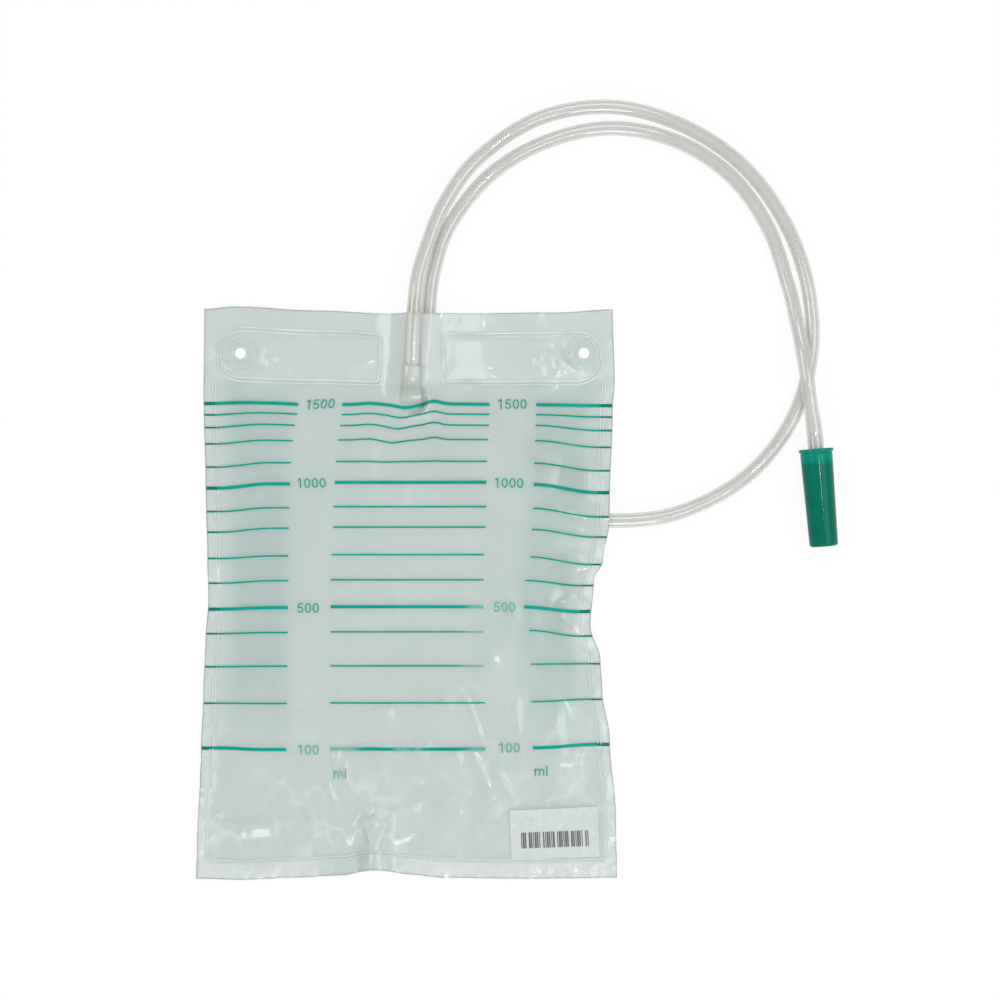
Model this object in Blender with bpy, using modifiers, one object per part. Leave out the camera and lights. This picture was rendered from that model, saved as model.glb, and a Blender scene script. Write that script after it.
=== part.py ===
# Urine drainage bag, lying flat with its inlet tube looped beside it.
# Metres. +X across the bag, +Y towards the hanging holes, +Z out of the printed face.
# The origin is under the middle of the bag, on the surface that it lies on.

import math

import bmesh
import bpy
from mathutils import Matrix, Vector

# Bag, as it lies
BAG_WIDTH = 0.1956
BAG_HEIGHT = 0.2666
FILM_WALL = 0.00025
SIDE_SEAM = 0.0056
BOTTOM_SEAM = 0.0088
HEADER_DEPTH = 0.0340
CHAMBER_PUFF = 0.0018
CHAMBER_RAMP = 0.020

# Loose pockets inside the welded header: left, right, bottom and top edges
POCKET_PUFF = 0.0022
POCKET_RAMP = 0.0065
POCKET_LEFT_INSET = 0.0072
POCKET_RIGHT_INSET = 0.0068
POCKET_TOP_INSET = 0.0105
POCKET_DEPTH = 0.0235
LEFT_POCKET_LENGTH = 0.0780
RIGHT_POCKET_LENGTH = 0.0732

# Hanging holes, each inside a flat weld ring
HOLE_DIAMETER = 0.0050
LEFT_HOLE_INSET = 0.0204
RIGHT_HOLE_INSET = 0.0153
HOLE_TOP_INSET = 0.0218
WELD_RING_RADIUS = 0.0080

# Inlet tube
TUBE_DIAMETER = 0.0068
TUBE_POINTS = 80
TUBE_FLARE = 1.12
FLARE_LENGTH = 0.011
IN_BAG_POINTS = 3

# Flat non-return sleeve on the tube's inner end
VALVE_WIDTH = 0.0104
VALVE_WALL = 0.00025
VALVE_TIP_THICKNESS = 0.0011
VALVE_LENGTH = 0.0165
VALVE_GRIP = 0.0040
VALVE_TIP_HEIGHT = 0.0021

# Cap over the connector
CAP_LENGTH = 0.0453
CAP_LIP_RADIUS = 0.0080
CAP_LIP_HEIGHT = 0.0016
CAP_MOUTH_RADIUS = 0.0075
CAP_END_RADIUS = 0.0066
CAP_WALL = 0.0012
CAP_EDGE_ROUND = 0.0014
CAP_MOUTH = (0.1895, 0.0669)
CAP_TURN = math.radians(4.7)

# Stepped connector inside the cap
TUBE_ENTRY = 0.0030
FLANGE_THICKNESS = 0.0015
CONE_STEPS = 3
CONE_STEP_LENGTH = 0.0112
CONE_BASE_RADIUS = 0.0052
CONE_TIP_RADIUS = 0.0034
CONE_STEP_TAPER = 0.0003
CONNECTOR_BORE_RADIUS = 0.0018

# Sticker on the front film
LABEL_WIDTH = 0.0410
LABEL_HEIGHT = 0.0232
LABEL_WALL = 0.00015
LABEL_SIDE_INSET = 0.0290
LABEL_BOTTOM_INSET = 0.0215
LABEL_TURN = math.radians(2.6)

# Folds of the laid film
TENT_HALF_WIDTH = 0.0300
SHOULDER_HALF_WIDTH = 0.0180
SHOULDER_SHARE = 0.70
SHOULDER_FADE = 0.010
HUG_STEEPNESS = 2.0
BOTTOM_FOLD_HEIGHT = 0.0055
BOTTOM_FOLD_HALF_WIDTH = 0.0105
BOTTOM_FOLD_LENGTH = 0.042
BOTTOM_FOLD_X = -0.0145
EDGE_BUCKLE_HEIGHT = 0.0052
EDGE_BUCKLE_SIDE_INSET = 0.0198
EDGE_BUCKLE_Y = -0.007
EDGE_BUCKLE_SPREAD = (0.008, 0.015)

# Gaps between touching pieces, and what a flat facet cuts off a curved fold
CLEARANCE = 0.0003
FACET_SAG = 0.00025
SPINE_ROOM = 0.0007

# Cell counts of the film, and the distances from a tube inside which the cells are halved
FILM_COLUMNS = 20
FILM_ROWS = 27
FINE_REACHES = (0.0130, 0.0095)

# Route of the tube, hand laid: x, y and the share of one tube's height that it is lifted by.
# It starts inside the bag, makes the outer loop, passes under the bag, makes the inner loop
# and crosses over the outer one on the way to the cap.
ROUTE = (
    (0.0025, 0.1013, 0.52),
    (0.0032, 0.1200, 0.68),
    (0.0038, 0.1315, 0.75),
    (0.0054, 0.1465, 0.70),
    (0.0098, 0.1612, 0.62),
    (0.0180, 0.1812, 0.38),
    (0.0334, 0.2020, 0.05),
    (0.0617, 0.2205, 0.0),
    (0.0955, 0.2257, 0.0),
    (0.1280, 0.2172, 0.0),
    (0.1554, 0.1992, 0.0),
    (0.1749, 0.1736, 0.0),
    (0.1861, 0.1437, 0.0),
    (0.1880, 0.1114, 0.0),
    (0.1786, 0.0797, 0.0),
    (0.1575, 0.0538, 0.0),
    (0.1270, 0.0375, 0.0),
    (0.0982, 0.0336, 0.0),
    (0.0764, 0.0367, 0.0),
    (0.0545, 0.0458, 0.0),
    (0.0357, 0.0603, 0.0),
    (0.0212, 0.0791, 0.0),
    (0.0122, 0.1010, 0.0),
    (0.0100, 0.1190, 0.0),
    (0.0105, 0.1330, 0.0),
    (0.0128, 0.1500, 0.0),
    (0.0203, 0.1712, 0.0),
    (0.0394, 0.1946, 0.0),
    (0.0656, 0.2098, 0.0),
    (0.0955, 0.2158, 0.0),
    (0.1253, 0.2098, 0.0),
    (0.1507, 0.1935, 0.0),
    (0.1679, 0.1696, 0.0),
    (0.1773, 0.1422, 0.05),
    (0.1807, 0.1268, 0.34),
    (0.1832, 0.1125, 0.84),
    (0.1852, 0.0989, 1.04),
    (0.1865, 0.0896, 0.92),
)
UNDER_BAG_FIRST = 16
UNDER_BAG_LAST = 25
TUBE_HEIGHT_AT_CAP = CAP_LIP_RADIUS
STRAIGHT_INTO_CAP = 0.0085

# Edges of the laid bag, as how far they are drawn in from the flat outline
LEFT_EDGE = ((-0.1333, 0.0), (-0.118, 0.0005), (-0.073, 0.0023), (-0.045, 0.0033),
             (-0.022, 0.0042), (-0.003, 0.0056), (0.015, 0.0051), (0.052, 0.0042),
             (0.090, 0.0033), (0.1333, 0.0037))
RIGHT_EDGE = ((-0.1333, 0.0), (-0.105, 0.0005), (-0.068, 0.0033), (-0.045, 0.0068),
              (-0.031, 0.0076), (-0.015, 0.0125), (0.006, 0.0107), (0.015, 0.0065),
              (0.034, 0.0037), (0.085, 0.0019), (0.099, 0.0010), (0.1333, 0.0019))
TOP_EDGE = ((-0.0978, 0.0012), (-0.084, 0.0), (-0.045, 0.0019), (0.0, 0.0037),
            (0.072, 0.0028), (0.0978, 0.0014))
BOTTOM_EDGE = ((-0.0978, 0.0005), (-0.077, 0.0), (-0.055, 0.0009), (-0.030, 0.0020),
               (-0.0145, 0.0051), (0.001, 0.0025), (0.018, 0.0009), (0.057, 0.0005),
               (0.0978, 0.0009))
EDGE_REACH = 0.075

# Colours and finishes: red, green, blue, roughness
FILM_COLOUR = (0.66, 0.74, 0.71, 0.22)
TUBE_COLOUR = (0.72, 0.72, 0.70, 0.35)
VALVE_COLOUR = (0.78, 0.80, 0.78, 0.30)
CONNECTOR_COLOUR = (0.85, 0.86, 0.85, 0.35)
CAP_COLOUR = (0.0, 0.14, 0.09, 0.30)
LABEL_COLOUR = (0.88, 0.89, 0.88, 0.40)


for old in list(bpy.data.objects):
    bpy.data.objects.remove(old, do_unlink=True)

BAG = bpy.data.collections.new("urine_drainage_bag")
CUTTERS = bpy.data.collections.new("cutters")
bpy.context.scene.collection.children.link(BAG)
bpy.context.scene.collection.children.link(CUTTERS)


def material(name, look, alpha=1.0):
    made = bpy.data.materials.new(name)
    made.use_nodes = True
    shader = made.node_tree.nodes["Principled BSDF"]
    shader.inputs["Base Color"].default_value = (look[0], look[1], look[2], 1.0)
    shader.inputs["Roughness"].default_value = look[3]
    shader.inputs["Metallic"].default_value = 0.0
    shader.inputs["Alpha"].default_value = alpha
    return made


def add_object(name, data, collection, finish=None):
    made = bpy.data.objects.new(name, data)
    collection.objects.link(made)
    if finish is not None:
        made.data.materials.append(finish)
    return made


def ramp(value):
    """Smooth rise from 0 at 0 to 1 at 1."""
    value = min(max(value, 0.0), 1.0)
    return value * value * (3.0 - 2.0 * value)


def along(table, place):
    """Value of a hand-chosen edge table at a place, eased between its points."""
    for (low, low_value), (high, high_value) in zip(table, table[1:]):
        if place <= high:
            share = ramp((place - low) / (high - low))
            return low_value + (high_value - low_value) * share
    return table[-1][1]


# Smooth curve of the tube

def route_points():
    """The route's own points in metres, ending straight in the mouth of the cap."""
    points = []
    for x, y, lift in ROUTE:
        height = TUBE_DIAMETER / 2 + lift * (TUBE_DIAMETER + CLEARANCE)
        points.append(Vector((x, y, height)))
    into_cap = Vector((math.sin(CAP_TURN), -math.cos(CAP_TURN), 0.0))
    mouth = Vector((CAP_MOUTH[0], CAP_MOUTH[1], TUBE_HEIGHT_AT_CAP))
    points.append(mouth - into_cap * STRAIGHT_INTO_CAP)
    points.append(mouth + into_cap * TUBE_ENTRY)
    return points


def smooth_curve(points, steps):
    """Catmull-Rom curve through the points, with their index as its parameter."""
    curve = []
    ends = [points[0]] + points + [points[-1]]
    for index in range(len(points) - 1):
        before, start, end, after = ends[index:index + 4]
        for step in range(steps):
            t = step / steps
            place = (start * 2 + (end - before) * t
                     + (before * 2 - start * 5 + end * 4 - after) * t * t
                     + (start * 3 - before - end * 3 + after) * t ** 3) / 2
            curve.append((index + t, place))
    curve.append((len(points) - 1.0, points[-1]))
    return curve


def even_points(curve, count):
    """The curve's points at equal distances along it."""
    lengths = [0.0]
    for (_, a), (_, b) in zip(curve, curve[1:]):
        lengths.append(lengths[-1] + (b - a).length)
    chosen = []
    cursor = 0
    for number in range(count):
        target = lengths[-1] * number / (count - 1)
        while cursor < len(lengths) - 2 and lengths[cursor + 1] < target:
            cursor += 1
        span = lengths[cursor + 1] - lengths[cursor]
        share = (target - lengths[cursor]) / span
        index_a, place_a = curve[cursor]
        index_b, place_b = curve[cursor + 1]
        chosen.append((index_a + (index_b - index_a) * share, place_a.lerp(place_b, share)))
    return chosen


TUBE_PATH = even_points(smooth_curve(route_points(), 12), TUBE_POINTS)
UNDER_PATH = [place for index, place in TUBE_PATH if UNDER_BAG_FIRST <= index <= UNDER_BAG_LAST]
IN_BAG_PATH = [place for index, place in TUBE_PATH if index <= IN_BAG_POINTS]


def valve_spine():
    """Centres, half widths and half heights of the sleeve, from the tube to its flat tip."""
    tube_radius = TUBE_DIAMETER / 2 + CLEARANCE + VALVE_WALL
    start = TUBE_PATH[0][1]
    heading = (TUBE_PATH[0][1] - TUBE_PATH[1][1]).normalized()
    level = Vector((heading.x, heading.y, 0.0)).normalized()
    free_length = VALVE_LENGTH - VALVE_GRIP
    rings = [(start - heading * VALVE_GRIP, tube_radius, tube_radius),
             (start, tube_radius, tube_radius)]
    for share in (0.2, 0.4, 0.6, 0.8, 1.0):
        ease = ramp(share)
        centre = start + level * free_length * share
        centre.z = start.z + (VALVE_TIP_HEIGHT - start.z) * ease
        half_width = tube_radius + (VALVE_WIDTH / 2 - tube_radius) * ease
        half_height = tube_radius + (VALVE_TIP_THICKNESS / 2 - tube_radius) * ease
        rings.append((centre, half_width, half_height))
    return rings


VALVE_RINGS = valve_spine()


def held_up_spine():
    """What lifts the front film: the valve, then the tube up to and past the top edge."""
    tube_radius = TUBE_DIAMETER / 2
    spine = list(reversed(VALVE_RINGS))
    for place in IN_BAG_PATH:
        if (place - VALVE_RINGS[1][0]).length > VALVE_GRIP:
            spine.append((place, tube_radius, tube_radius))
    return spine


SPINE = held_up_spine()


# Shape of the laid films

def nearest(x, y, path):
    """Flat distance to a path, with the segment and the share along it."""
    best = (1.0, 0, 0.0)
    for number in range(len(path) - 1):
        a, b = path[number], path[number + 1]
        run_x, run_y = b.x - a.x, b.y - a.y
        share = ((x - a.x) * run_x + (y - a.y) * run_y) / (run_x * run_x + run_y * run_y)
        share = min(max(share, 0.0), 1.0)
        distance = math.hypot(x - a.x - run_x * share, y - a.y - run_y * share)
        if distance < best[0]:
            best = (distance, number, share)
    return best


def fold(distance, height, half_width):
    """Cross-section of a soft fold: a raised cosine."""
    if distance >= half_width:
        return 0.0
    return height * math.cos(math.pi * distance / (2 * half_width)) ** 2


def spine_at(x, y):
    """Distance to the held-up spine, and its height and half sizes there."""
    distance, number, share = nearest(x, y, [ring[0] for ring in SPINE])
    low, high = SPINE[number], SPINE[number + 1]
    height = low[0].z + (high[0].z - low[0].z) * share
    half_width = low[1] + (high[1] - low[1]) * share
    half_height = low[2] + (high[2] - low[2]) * share
    return distance, height, half_width, half_height


def hug(distance, half_width, half_height):
    """Drop from a spine's centre line to a film wrapped round it, with room for the facets."""
    wide = half_width + SPINE_ROOM
    high = half_height + SPINE_ROOM
    return high - distance * distance * high / (2 * wide * wide)


def back_height(x, y):
    """Underside of the back film."""
    tent_top = TUBE_DIAMETER + CLEARANCE + FACET_SAG
    height = fold(nearest(x, y, UNDER_PATH)[0], tent_top, TENT_HALF_WIDTH)
    distance, centre, half_width, half_height = spine_at(x, y)
    in_header = ramp((y - BAG_HEIGHT / 2 + HEADER_DEPTH) / SHOULDER_FADE + 0.5)
    shoulder = centre * SHOULDER_SHARE * in_header
    height = max(height, fold(distance, shoulder, SHOULDER_HALF_WIDTH))
    below = centre - hug(distance, half_width, half_height) - FILM_WALL
    below += HUG_STEEPNESS * max(distance - half_width - SPINE_ROOM, 0.0)
    height = max(min(height, below), 0.0)
    rise = ramp(1.0 - (y + BAG_HEIGHT / 2) / BOTTOM_FOLD_LENGTH)
    height += fold(abs(x - BOTTOM_FOLD_X), BOTTOM_FOLD_HEIGHT * rise, BOTTOM_FOLD_HALF_WIDTH)
    away_x = (x - BAG_WIDTH / 2 + EDGE_BUCKLE_SIDE_INSET) / EDGE_BUCKLE_SPREAD[0]
    away_y = (y - EDGE_BUCKLE_Y) / EDGE_BUCKLE_SPREAD[1]
    away = math.hypot(away_x, away_y)
    height += fold(away, EDGE_BUCKLE_HEIGHT, 2.0)
    return height


def hole_places():
    top = BAG_HEIGHT / 2 - HOLE_TOP_INSET
    return ((-BAG_WIDTH / 2 + LEFT_HOLE_INSET, top), (BAG_WIDTH / 2 - RIGHT_HOLE_INSET, top))


def pocket_puff(x, y):
    """Loose film inside the header's weld contours, flat again round each hole."""
    top = BAG_HEIGHT / 2 - POCKET_TOP_INSET
    left = -BAG_WIDTH / 2 + POCKET_LEFT_INSET
    right = BAG_WIDTH / 2 - POCKET_RIGHT_INSET
    spans = ((left, left + LEFT_POCKET_LENGTH), (right - RIGHT_POCKET_LENGTH, right))
    puff = 0.0
    for start, end in spans:
        inside = min(x - start, end - x, y - (top - POCKET_DEPTH), top - y)
        puff = max(puff, POCKET_PUFF * ramp(inside / POCKET_RAMP))
    for hole_x, hole_y in hole_places():
        apart = math.hypot(x - hole_x, y - hole_y) - WELD_RING_RADIUS
        puff *= ramp(apart / POCKET_RAMP)
    return puff


def chamber_puff(x, y):
    """Slack of the empty bag between its seams, with slow waves."""
    inside_x = BAG_WIDTH / 2 - SIDE_SEAM - abs(x) - along(RIGHT_EDGE if x > 0 else LEFT_EDGE, y)
    inside_low = y + BAG_HEIGHT / 2 - BOTTOM_SEAM
    inside_high = BAG_HEIGHT / 2 - HEADER_DEPTH - y
    inside = min(inside_x, inside_low, inside_high)
    waves = 0.75 + 0.25 * math.sin(x / 0.011 + 1.0) * math.sin(y / 0.017)
    return CHAMBER_PUFF * ramp(inside / CHAMBER_RAMP) * waves


def front_height(x, y):
    """Underside of the front film: on the back film at the welds, over the tube elsewhere."""
    height = back_height(x, y) + FILM_WALL + CLEARANCE
    height += max(pocket_puff(x, y), chamber_puff(x, y))
    distance, centre, half_width, half_height = spine_at(x, y)
    over = centre + hug(distance, half_width, half_height)
    return max(height, over)


def laid_place(x, y):
    """Where a point of the flat bag lies once its edges are drawn in."""
    left = along(LEFT_EDGE, y) * ramp(-x / EDGE_REACH)
    right = along(RIGHT_EDGE, y) * ramp(x / EDGE_REACH)
    half = BAG_HEIGHT / 2
    top = along(TOP_EDGE, x) * ramp(1.0 - (half - y) / EDGE_REACH)
    bottom = along(BOTTOM_EDGE, x) * ramp(1.0 - (half + y) / EDGE_REACH)
    return x + left - right, y - top + bottom


def film_mesh(name, height_at):
    """A sheet of cells, halved near the tubes, laid out and lifted to its height."""
    grid = bmesh.new()
    bmesh.ops.create_grid(grid, x_segments=FILM_COLUMNS, y_segments=FILM_ROWS, size=0.5)
    bmesh.ops.scale(grid, vec=(BAG_WIDTH, BAG_HEIGHT, 1.0), verts=grid.verts)
    spine_path = [ring[0] for ring in SPINE]
    for reach in FINE_REACHES:
        near = []
        for edge in grid.edges:
            middle = (edge.verts[0].co + edge.verts[1].co) / 2
            x, y = laid_place(middle.x, middle.y)
            apart = min(nearest(x, y, UNDER_PATH)[0], nearest(x, y, spine_path)[0])
            if apart < reach:
                near.append(edge)
        bmesh.ops.subdivide_edges(grid, edges=near, cuts=1, use_grid_fill=True)
    bmesh.ops.triangulate(grid, faces=grid.faces[:])
    for vertex in grid.verts:
        x, y = laid_place(vertex.co.x, vertex.co.y)
        vertex.co = Vector((x, y, height_at(x, y)))
    mesh = bpy.data.meshes.new(name)
    grid.to_mesh(mesh)
    grid.free()
    return mesh


def hole_cutters():
    cutters = []
    for number, (x, y) in enumerate(hole_places()):
        bm = bmesh.new()
        bmesh.ops.create_cone(bm, cap_ends=True, segments=24, radius1=HOLE_DIAMETER / 2,
                              radius2=HOLE_DIAMETER / 2, depth=4 * HOLE_DIAMETER)
        mesh = bpy.data.meshes.new("hole_cutter_%d" % number)
        bm.to_mesh(mesh)
        bm.free()
        cutter = add_object("hole_cutter_%d" % number, mesh, CUTTERS)
        cutter.location = (x, y, 0.0)
        cutter.hide_render = True
        cutter.display_type = "WIRE"
        cutters.append(cutter)
    return cutters


def add_film(name, height_at, cutters):
    """One welded wall of the bag: cut from sheet and punched at the hanging holes."""
    film = add_object(name, film_mesh(name, height_at), BAG, material(name, FILM_COLOUR, 0.6))
    wall = film.modifiers.new("wall", "SOLIDIFY")
    wall.thickness = FILM_WALL
    wall.offset = 1.0
    for cutter in cutters:
        hole = film.modifiers.new("hole", "BOOLEAN")
        hole.operation = "DIFFERENCE"
        hole.object = cutter
    return film


def add_tube():
    """Soft clear tube, one length from the valve to the connector."""
    curve = bpy.data.curves.new("inlet_tube", "CURVE")
    curve.dimensions = "3D"
    curve.bevel_depth = TUBE_DIAMETER / 2
    curve.bevel_resolution = 2
    curve.use_fill_caps = True
    spline = curve.splines.new("POLY")
    spline.points.add(len(TUBE_PATH) - 1)
    to_end = 0.0
    for number in range(len(TUBE_PATH) - 1, -1, -1):
        place = TUBE_PATH[number][1]
        if number < len(TUBE_PATH) - 1:
            to_end += (TUBE_PATH[number + 1][1] - place).length
        point = spline.points[number]
        point.co = (place.x, place.y, place.z, 1.0)
        point.radius = 1.0 + (TUBE_FLARE - 1.0) * ramp(2.0 - to_end / FLARE_LENGTH)
    return add_object("inlet_tube", curve, BAG, material("inlet_tube", TUBE_COLOUR, 0.8))


def add_valve():
    """Sleeve slipped over the tube's inner end, round there and pressed flat at its tip."""
    segments = 20
    upright = Vector((0.0, 0.0, 1.0))
    bm = bmesh.new()
    loops = []
    for number, (centre, half_width, half_height) in enumerate(VALVE_RINGS):
        before = VALVE_RINGS[max(number - 1, 0)][0]
        after = VALVE_RINGS[min(number + 1, len(VALVE_RINGS) - 1)][0]
        side = (after - before).cross(upright).normalized()
        loop = []
        for step in range(segments):
            angle = 2 * math.pi * (step + 0.5) / segments
            shift = math.copysign(half_width - half_height, math.cos(angle))
            across = shift + half_height * math.cos(angle)
            raised = half_height * math.sin(angle)
            loop.append(bm.verts.new(centre + side * across + upright * raised))
        loops.append(loop)
    for near, far in zip(loops, loops[1:]):
        for step in range(segments):
            following = (step + 1) % segments
            bm.faces.new((near[step], near[following], far[following], far[step]))
    bmesh.ops.recalc_face_normals(bm, faces=bm.faces[:])
    mesh = bpy.data.meshes.new("non_return_valve")
    bm.to_mesh(mesh)
    bm.free()
    mesh.shade_smooth()
    valve = add_object("non_return_valve", mesh, BAG, material("non_return_valve", VALVE_COLOUR, 0.8))
    wall = valve.modifiers.new("wall", "SOLIDIFY")
    wall.thickness = VALVE_WALL
    wall.offset = -1.0
    return valve


def turned(name, profile, segments, finish):
    """A turned solid: the profile runs down its outer side and back up its bore."""
    bm = bmesh.new()
    previous = None
    for radius, height in profile:
        vertex = bm.verts.new((radius, 0.0, height))
        if previous is not None:
            bm.edges.new((previous, vertex))
        previous = vertex
    mesh = bpy.data.meshes.new(name)
    bm.to_mesh(mesh)
    bm.free()
    made = add_object(name, mesh, BAG, finish)
    screw = made.modifiers.new("turn", "SCREW")
    screw.steps = segments
    screw.render_steps = segments
    screw.use_merge_vertices = True
    screw.merge_threshold = 0.00001
    return made


def cap_inner_radius(depth):
    """Radius of the cap's hollow at a depth behind its mouth."""
    share = depth / CAP_LENGTH
    return CAP_MOUTH_RADIUS + (CAP_END_RADIUS - CAP_MOUTH_RADIUS) * share - CAP_WALL


def rounded_corner(radius, height, size, turn_in):
    """Quarter round at a corner, as profile points from the side to the end face."""
    points = []
    for step in range(4):
        angle = math.pi / 2 * step / 3
        out, down = size * math.cos(angle), size * math.sin(angle)
        points.append((radius - size + out, height + size - down))
    return points if turn_in else points[::-1]


def add_cap(axis):
    """Thin moulded cap: lip at the mouth, slight taper, rounded closed end."""
    body_radius = cap_inner_radius(CAP_LIP_HEIGHT) + CAP_WALL
    inner_round = max(CAP_EDGE_ROUND - CAP_WALL, CAP_EDGE_ROUND / 3)
    floor = -CAP_LENGTH + CAP_WALL
    profile = [(CAP_LIP_RADIUS, 0.0), (CAP_LIP_RADIUS, -CAP_LIP_HEIGHT * 0.75),
               (body_radius, -CAP_LIP_HEIGHT)]
    profile += rounded_corner(CAP_END_RADIUS, -CAP_LENGTH, CAP_EDGE_ROUND, True)
    profile.append((0.0, -CAP_LENGTH))
    profile.append((0.0, floor))
    profile += rounded_corner(cap_inner_radius(CAP_LENGTH - CAP_WALL), floor, inner_round, False)
    profile += [(cap_inner_radius(0.0), 0.0), (CAP_LIP_RADIUS, 0.0)]
    cap = turned("connector_cap", profile, 32, material("connector_cap", CAP_COLOUR))
    cap.parent = axis
    return cap


def add_connector(axis):
    """Stepped taper for the catheter, with a flange that seats inside the cap's mouth."""
    back = -(TUBE_ENTRY + CLEARANCE)
    flange_radius = cap_inner_radius(TUBE_ENTRY + FLANGE_THICKNESS) - CLEARANCE
    profile = [(CONNECTOR_BORE_RADIUS, back), (flange_radius, back),
               (flange_radius, back - FLANGE_THICKNESS)]
    drop = (CONE_BASE_RADIUS - CONE_TIP_RADIUS) / (CONE_STEPS - 1)
    height = back - FLANGE_THICKNESS
    for step in range(CONE_STEPS):
        radius = CONE_BASE_RADIUS - drop * step
        profile.append((radius, height))
        height -= CONE_STEP_LENGTH
        profile.append((radius - CONE_STEP_TAPER, height))
    profile.append((CONNECTOR_BORE_RADIUS, height))
    profile.append((CONNECTOR_BORE_RADIUS, back))
    finish = material("catheter_connector", CONNECTOR_COLOUR)
    connector = turned("catheter_connector", profile, 28, finish)
    connector.parent = axis
    return connector


def add_label():
    """Thin sticker lying on the front film."""
    bm = bmesh.new()
    bmesh.ops.create_grid(bm, x_segments=12, y_segments=7, size=0.5)
    bmesh.ops.scale(bm, vec=(LABEL_WIDTH, LABEL_HEIGHT, 1.0), verts=bm.verts)
    turn = Matrix.Rotation(LABEL_TURN, 4, "Z")
    place = Vector((BAG_WIDTH / 2 - LABEL_SIDE_INSET, -BAG_HEIGHT / 2 + LABEL_BOTTOM_INSET, 0.0))
    for vertex in bm.verts:
        laid = turn @ vertex.co + place
        height = front_height(laid.x, laid.y) + FILM_WALL + CLEARANCE + FACET_SAG
        vertex.co = Vector((laid.x, laid.y, height))
    mesh = bpy.data.meshes.new("label")
    bm.to_mesh(mesh)
    bm.free()
    label = add_object("label", mesh, BAG, material("label", LABEL_COLOUR))
    wall = label.modifiers.new("wall", "SOLIDIFY")
    wall.thickness = LABEL_WALL
    wall.offset = 1.0
    return label


def add_cap_axis():
    """Empty in the mouth of the cap; its Z points back along the tube."""
    axis = bpy.data.objects.new("cap_axis", None)
    BAG.objects.link(axis)
    axis.location = (CAP_MOUTH[0], CAP_MOUTH[1], TUBE_HEIGHT_AT_CAP)
    axis.rotation_euler = (-math.pi / 2, 0.0, CAP_TURN)
    return axis


punches = hole_cutters()
add_film("back_film", back_height, punches)
add_film("front_film", front_height, punches)
add_tube()
add_valve()
cap_axis = add_cap_axis()
add_cap(cap_axis)
add_connector(cap_axis)
add_label()
bpy.context.view_layer.update()
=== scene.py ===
import math

import bmesh
import bpy
import numpy as np
from mathutils import Matrix, Vector, noise
from mathutils.bvhtree import BVHTree


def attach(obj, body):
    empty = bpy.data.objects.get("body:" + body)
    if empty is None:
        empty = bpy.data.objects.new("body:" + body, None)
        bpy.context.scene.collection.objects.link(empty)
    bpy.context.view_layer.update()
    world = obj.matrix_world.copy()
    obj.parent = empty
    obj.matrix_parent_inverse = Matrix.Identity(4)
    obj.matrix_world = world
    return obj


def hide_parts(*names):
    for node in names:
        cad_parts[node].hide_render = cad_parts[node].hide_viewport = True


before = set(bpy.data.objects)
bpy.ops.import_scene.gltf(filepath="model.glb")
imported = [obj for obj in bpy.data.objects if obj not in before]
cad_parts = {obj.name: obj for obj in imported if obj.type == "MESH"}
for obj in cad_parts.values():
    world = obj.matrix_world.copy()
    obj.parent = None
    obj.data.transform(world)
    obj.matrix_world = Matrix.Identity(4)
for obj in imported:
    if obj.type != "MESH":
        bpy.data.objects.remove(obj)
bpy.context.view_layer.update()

# Camera and light.
# The bag lies on a pale table and is seen from straight above, in even studio light.
# The lamps stand round the camera, out of the flat film's own reflection, so that only its
# creases and rounded parts catch them.

PIXEL = 0.0004645
VIEW_CENTRE = (0.04343, 0.0432)
LENS = 85.0
SENSOR = 36.0
FRAME_WIDTH = 1000 * PIXEL
MIDDLE_HEIGHT = 0.003
STUDIO_TINT = (0.98, 1.0, 1.0, 1.0)
STUDIO_STRENGTH = 0.50
LAMP_AIM = Vector((0.03, 0.03, 0.0))
TABLE_SIZE = 4.0
TABLE_DROP = 0.0004
TABLE_TINT = (0.92, 0.92, 0.92, 1.0)
TABLE_WHITE_SHARE = 0.90

scene = bpy.context.scene
scene.view_settings.view_transform = "Standard"

camera_height = FRAME_WIDTH * LENS / SENSOR + MIDDLE_HEIGHT
bpy.ops.object.camera_add(location=(*VIEW_CENTRE, camera_height))
camera = bpy.context.object
camera.data.lens = LENS
camera.data.sensor_width = SENSOR
camera.data.clip_end = 10.0
scene.camera = camera

world = bpy.data.worlds.new("studio")
scene.world = world
world.use_nodes = True
world.node_tree.nodes["Background"].inputs["Color"].default_value = STUDIO_TINT
world.node_tree.nodes["Background"].inputs["Strength"].default_value = STUDIO_STRENGTH


def add_lamp(name, place, size, power):
    """A square soft lamp that looks at the middle of the bag."""
    bpy.ops.object.light_add(type="AREA", location=place)
    lamp = bpy.context.object
    lamp.name = name
    lamp.data.size = size
    lamp.data.energy = power
    lamp.rotation_euler = (LAMP_AIM - Vector(place)).to_track_quat("-Z", "Y").to_euler()


def math_node(nodes, links, operation, *values):
    """A Math node whose inputs are links or plain numbers."""
    made = nodes.new("ShaderNodeMath")
    made.operation = operation
    for socket, value in zip(made.inputs, values):
        if isinstance(value, (int, float)):
            socket.default_value = value
        else:
            links.new(value, socket)
    return made.outputs[0]


add_lamp("lamp_left", (-0.85, 0.20, 0.95), 0.50, 3.0)
add_lamp("lamp_right", (0.80, 0.05, 0.95), 0.65, 3.4)
add_lamp("lamp_head", (0.10, 0.90, 0.95), 0.50, 2.5)
add_lamp("lamp_foot", (0.15, -0.95, 0.72), 0.45, 4.2)
add_lamp("lamp_low", (0.46, -0.52, 1.10), 0.30, 1.2)
# The small near lamp draws the highlight along the cap
add_lamp("lamp_near", (0.340, 0.020, 1.10), 0.055, 0.5)

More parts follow.
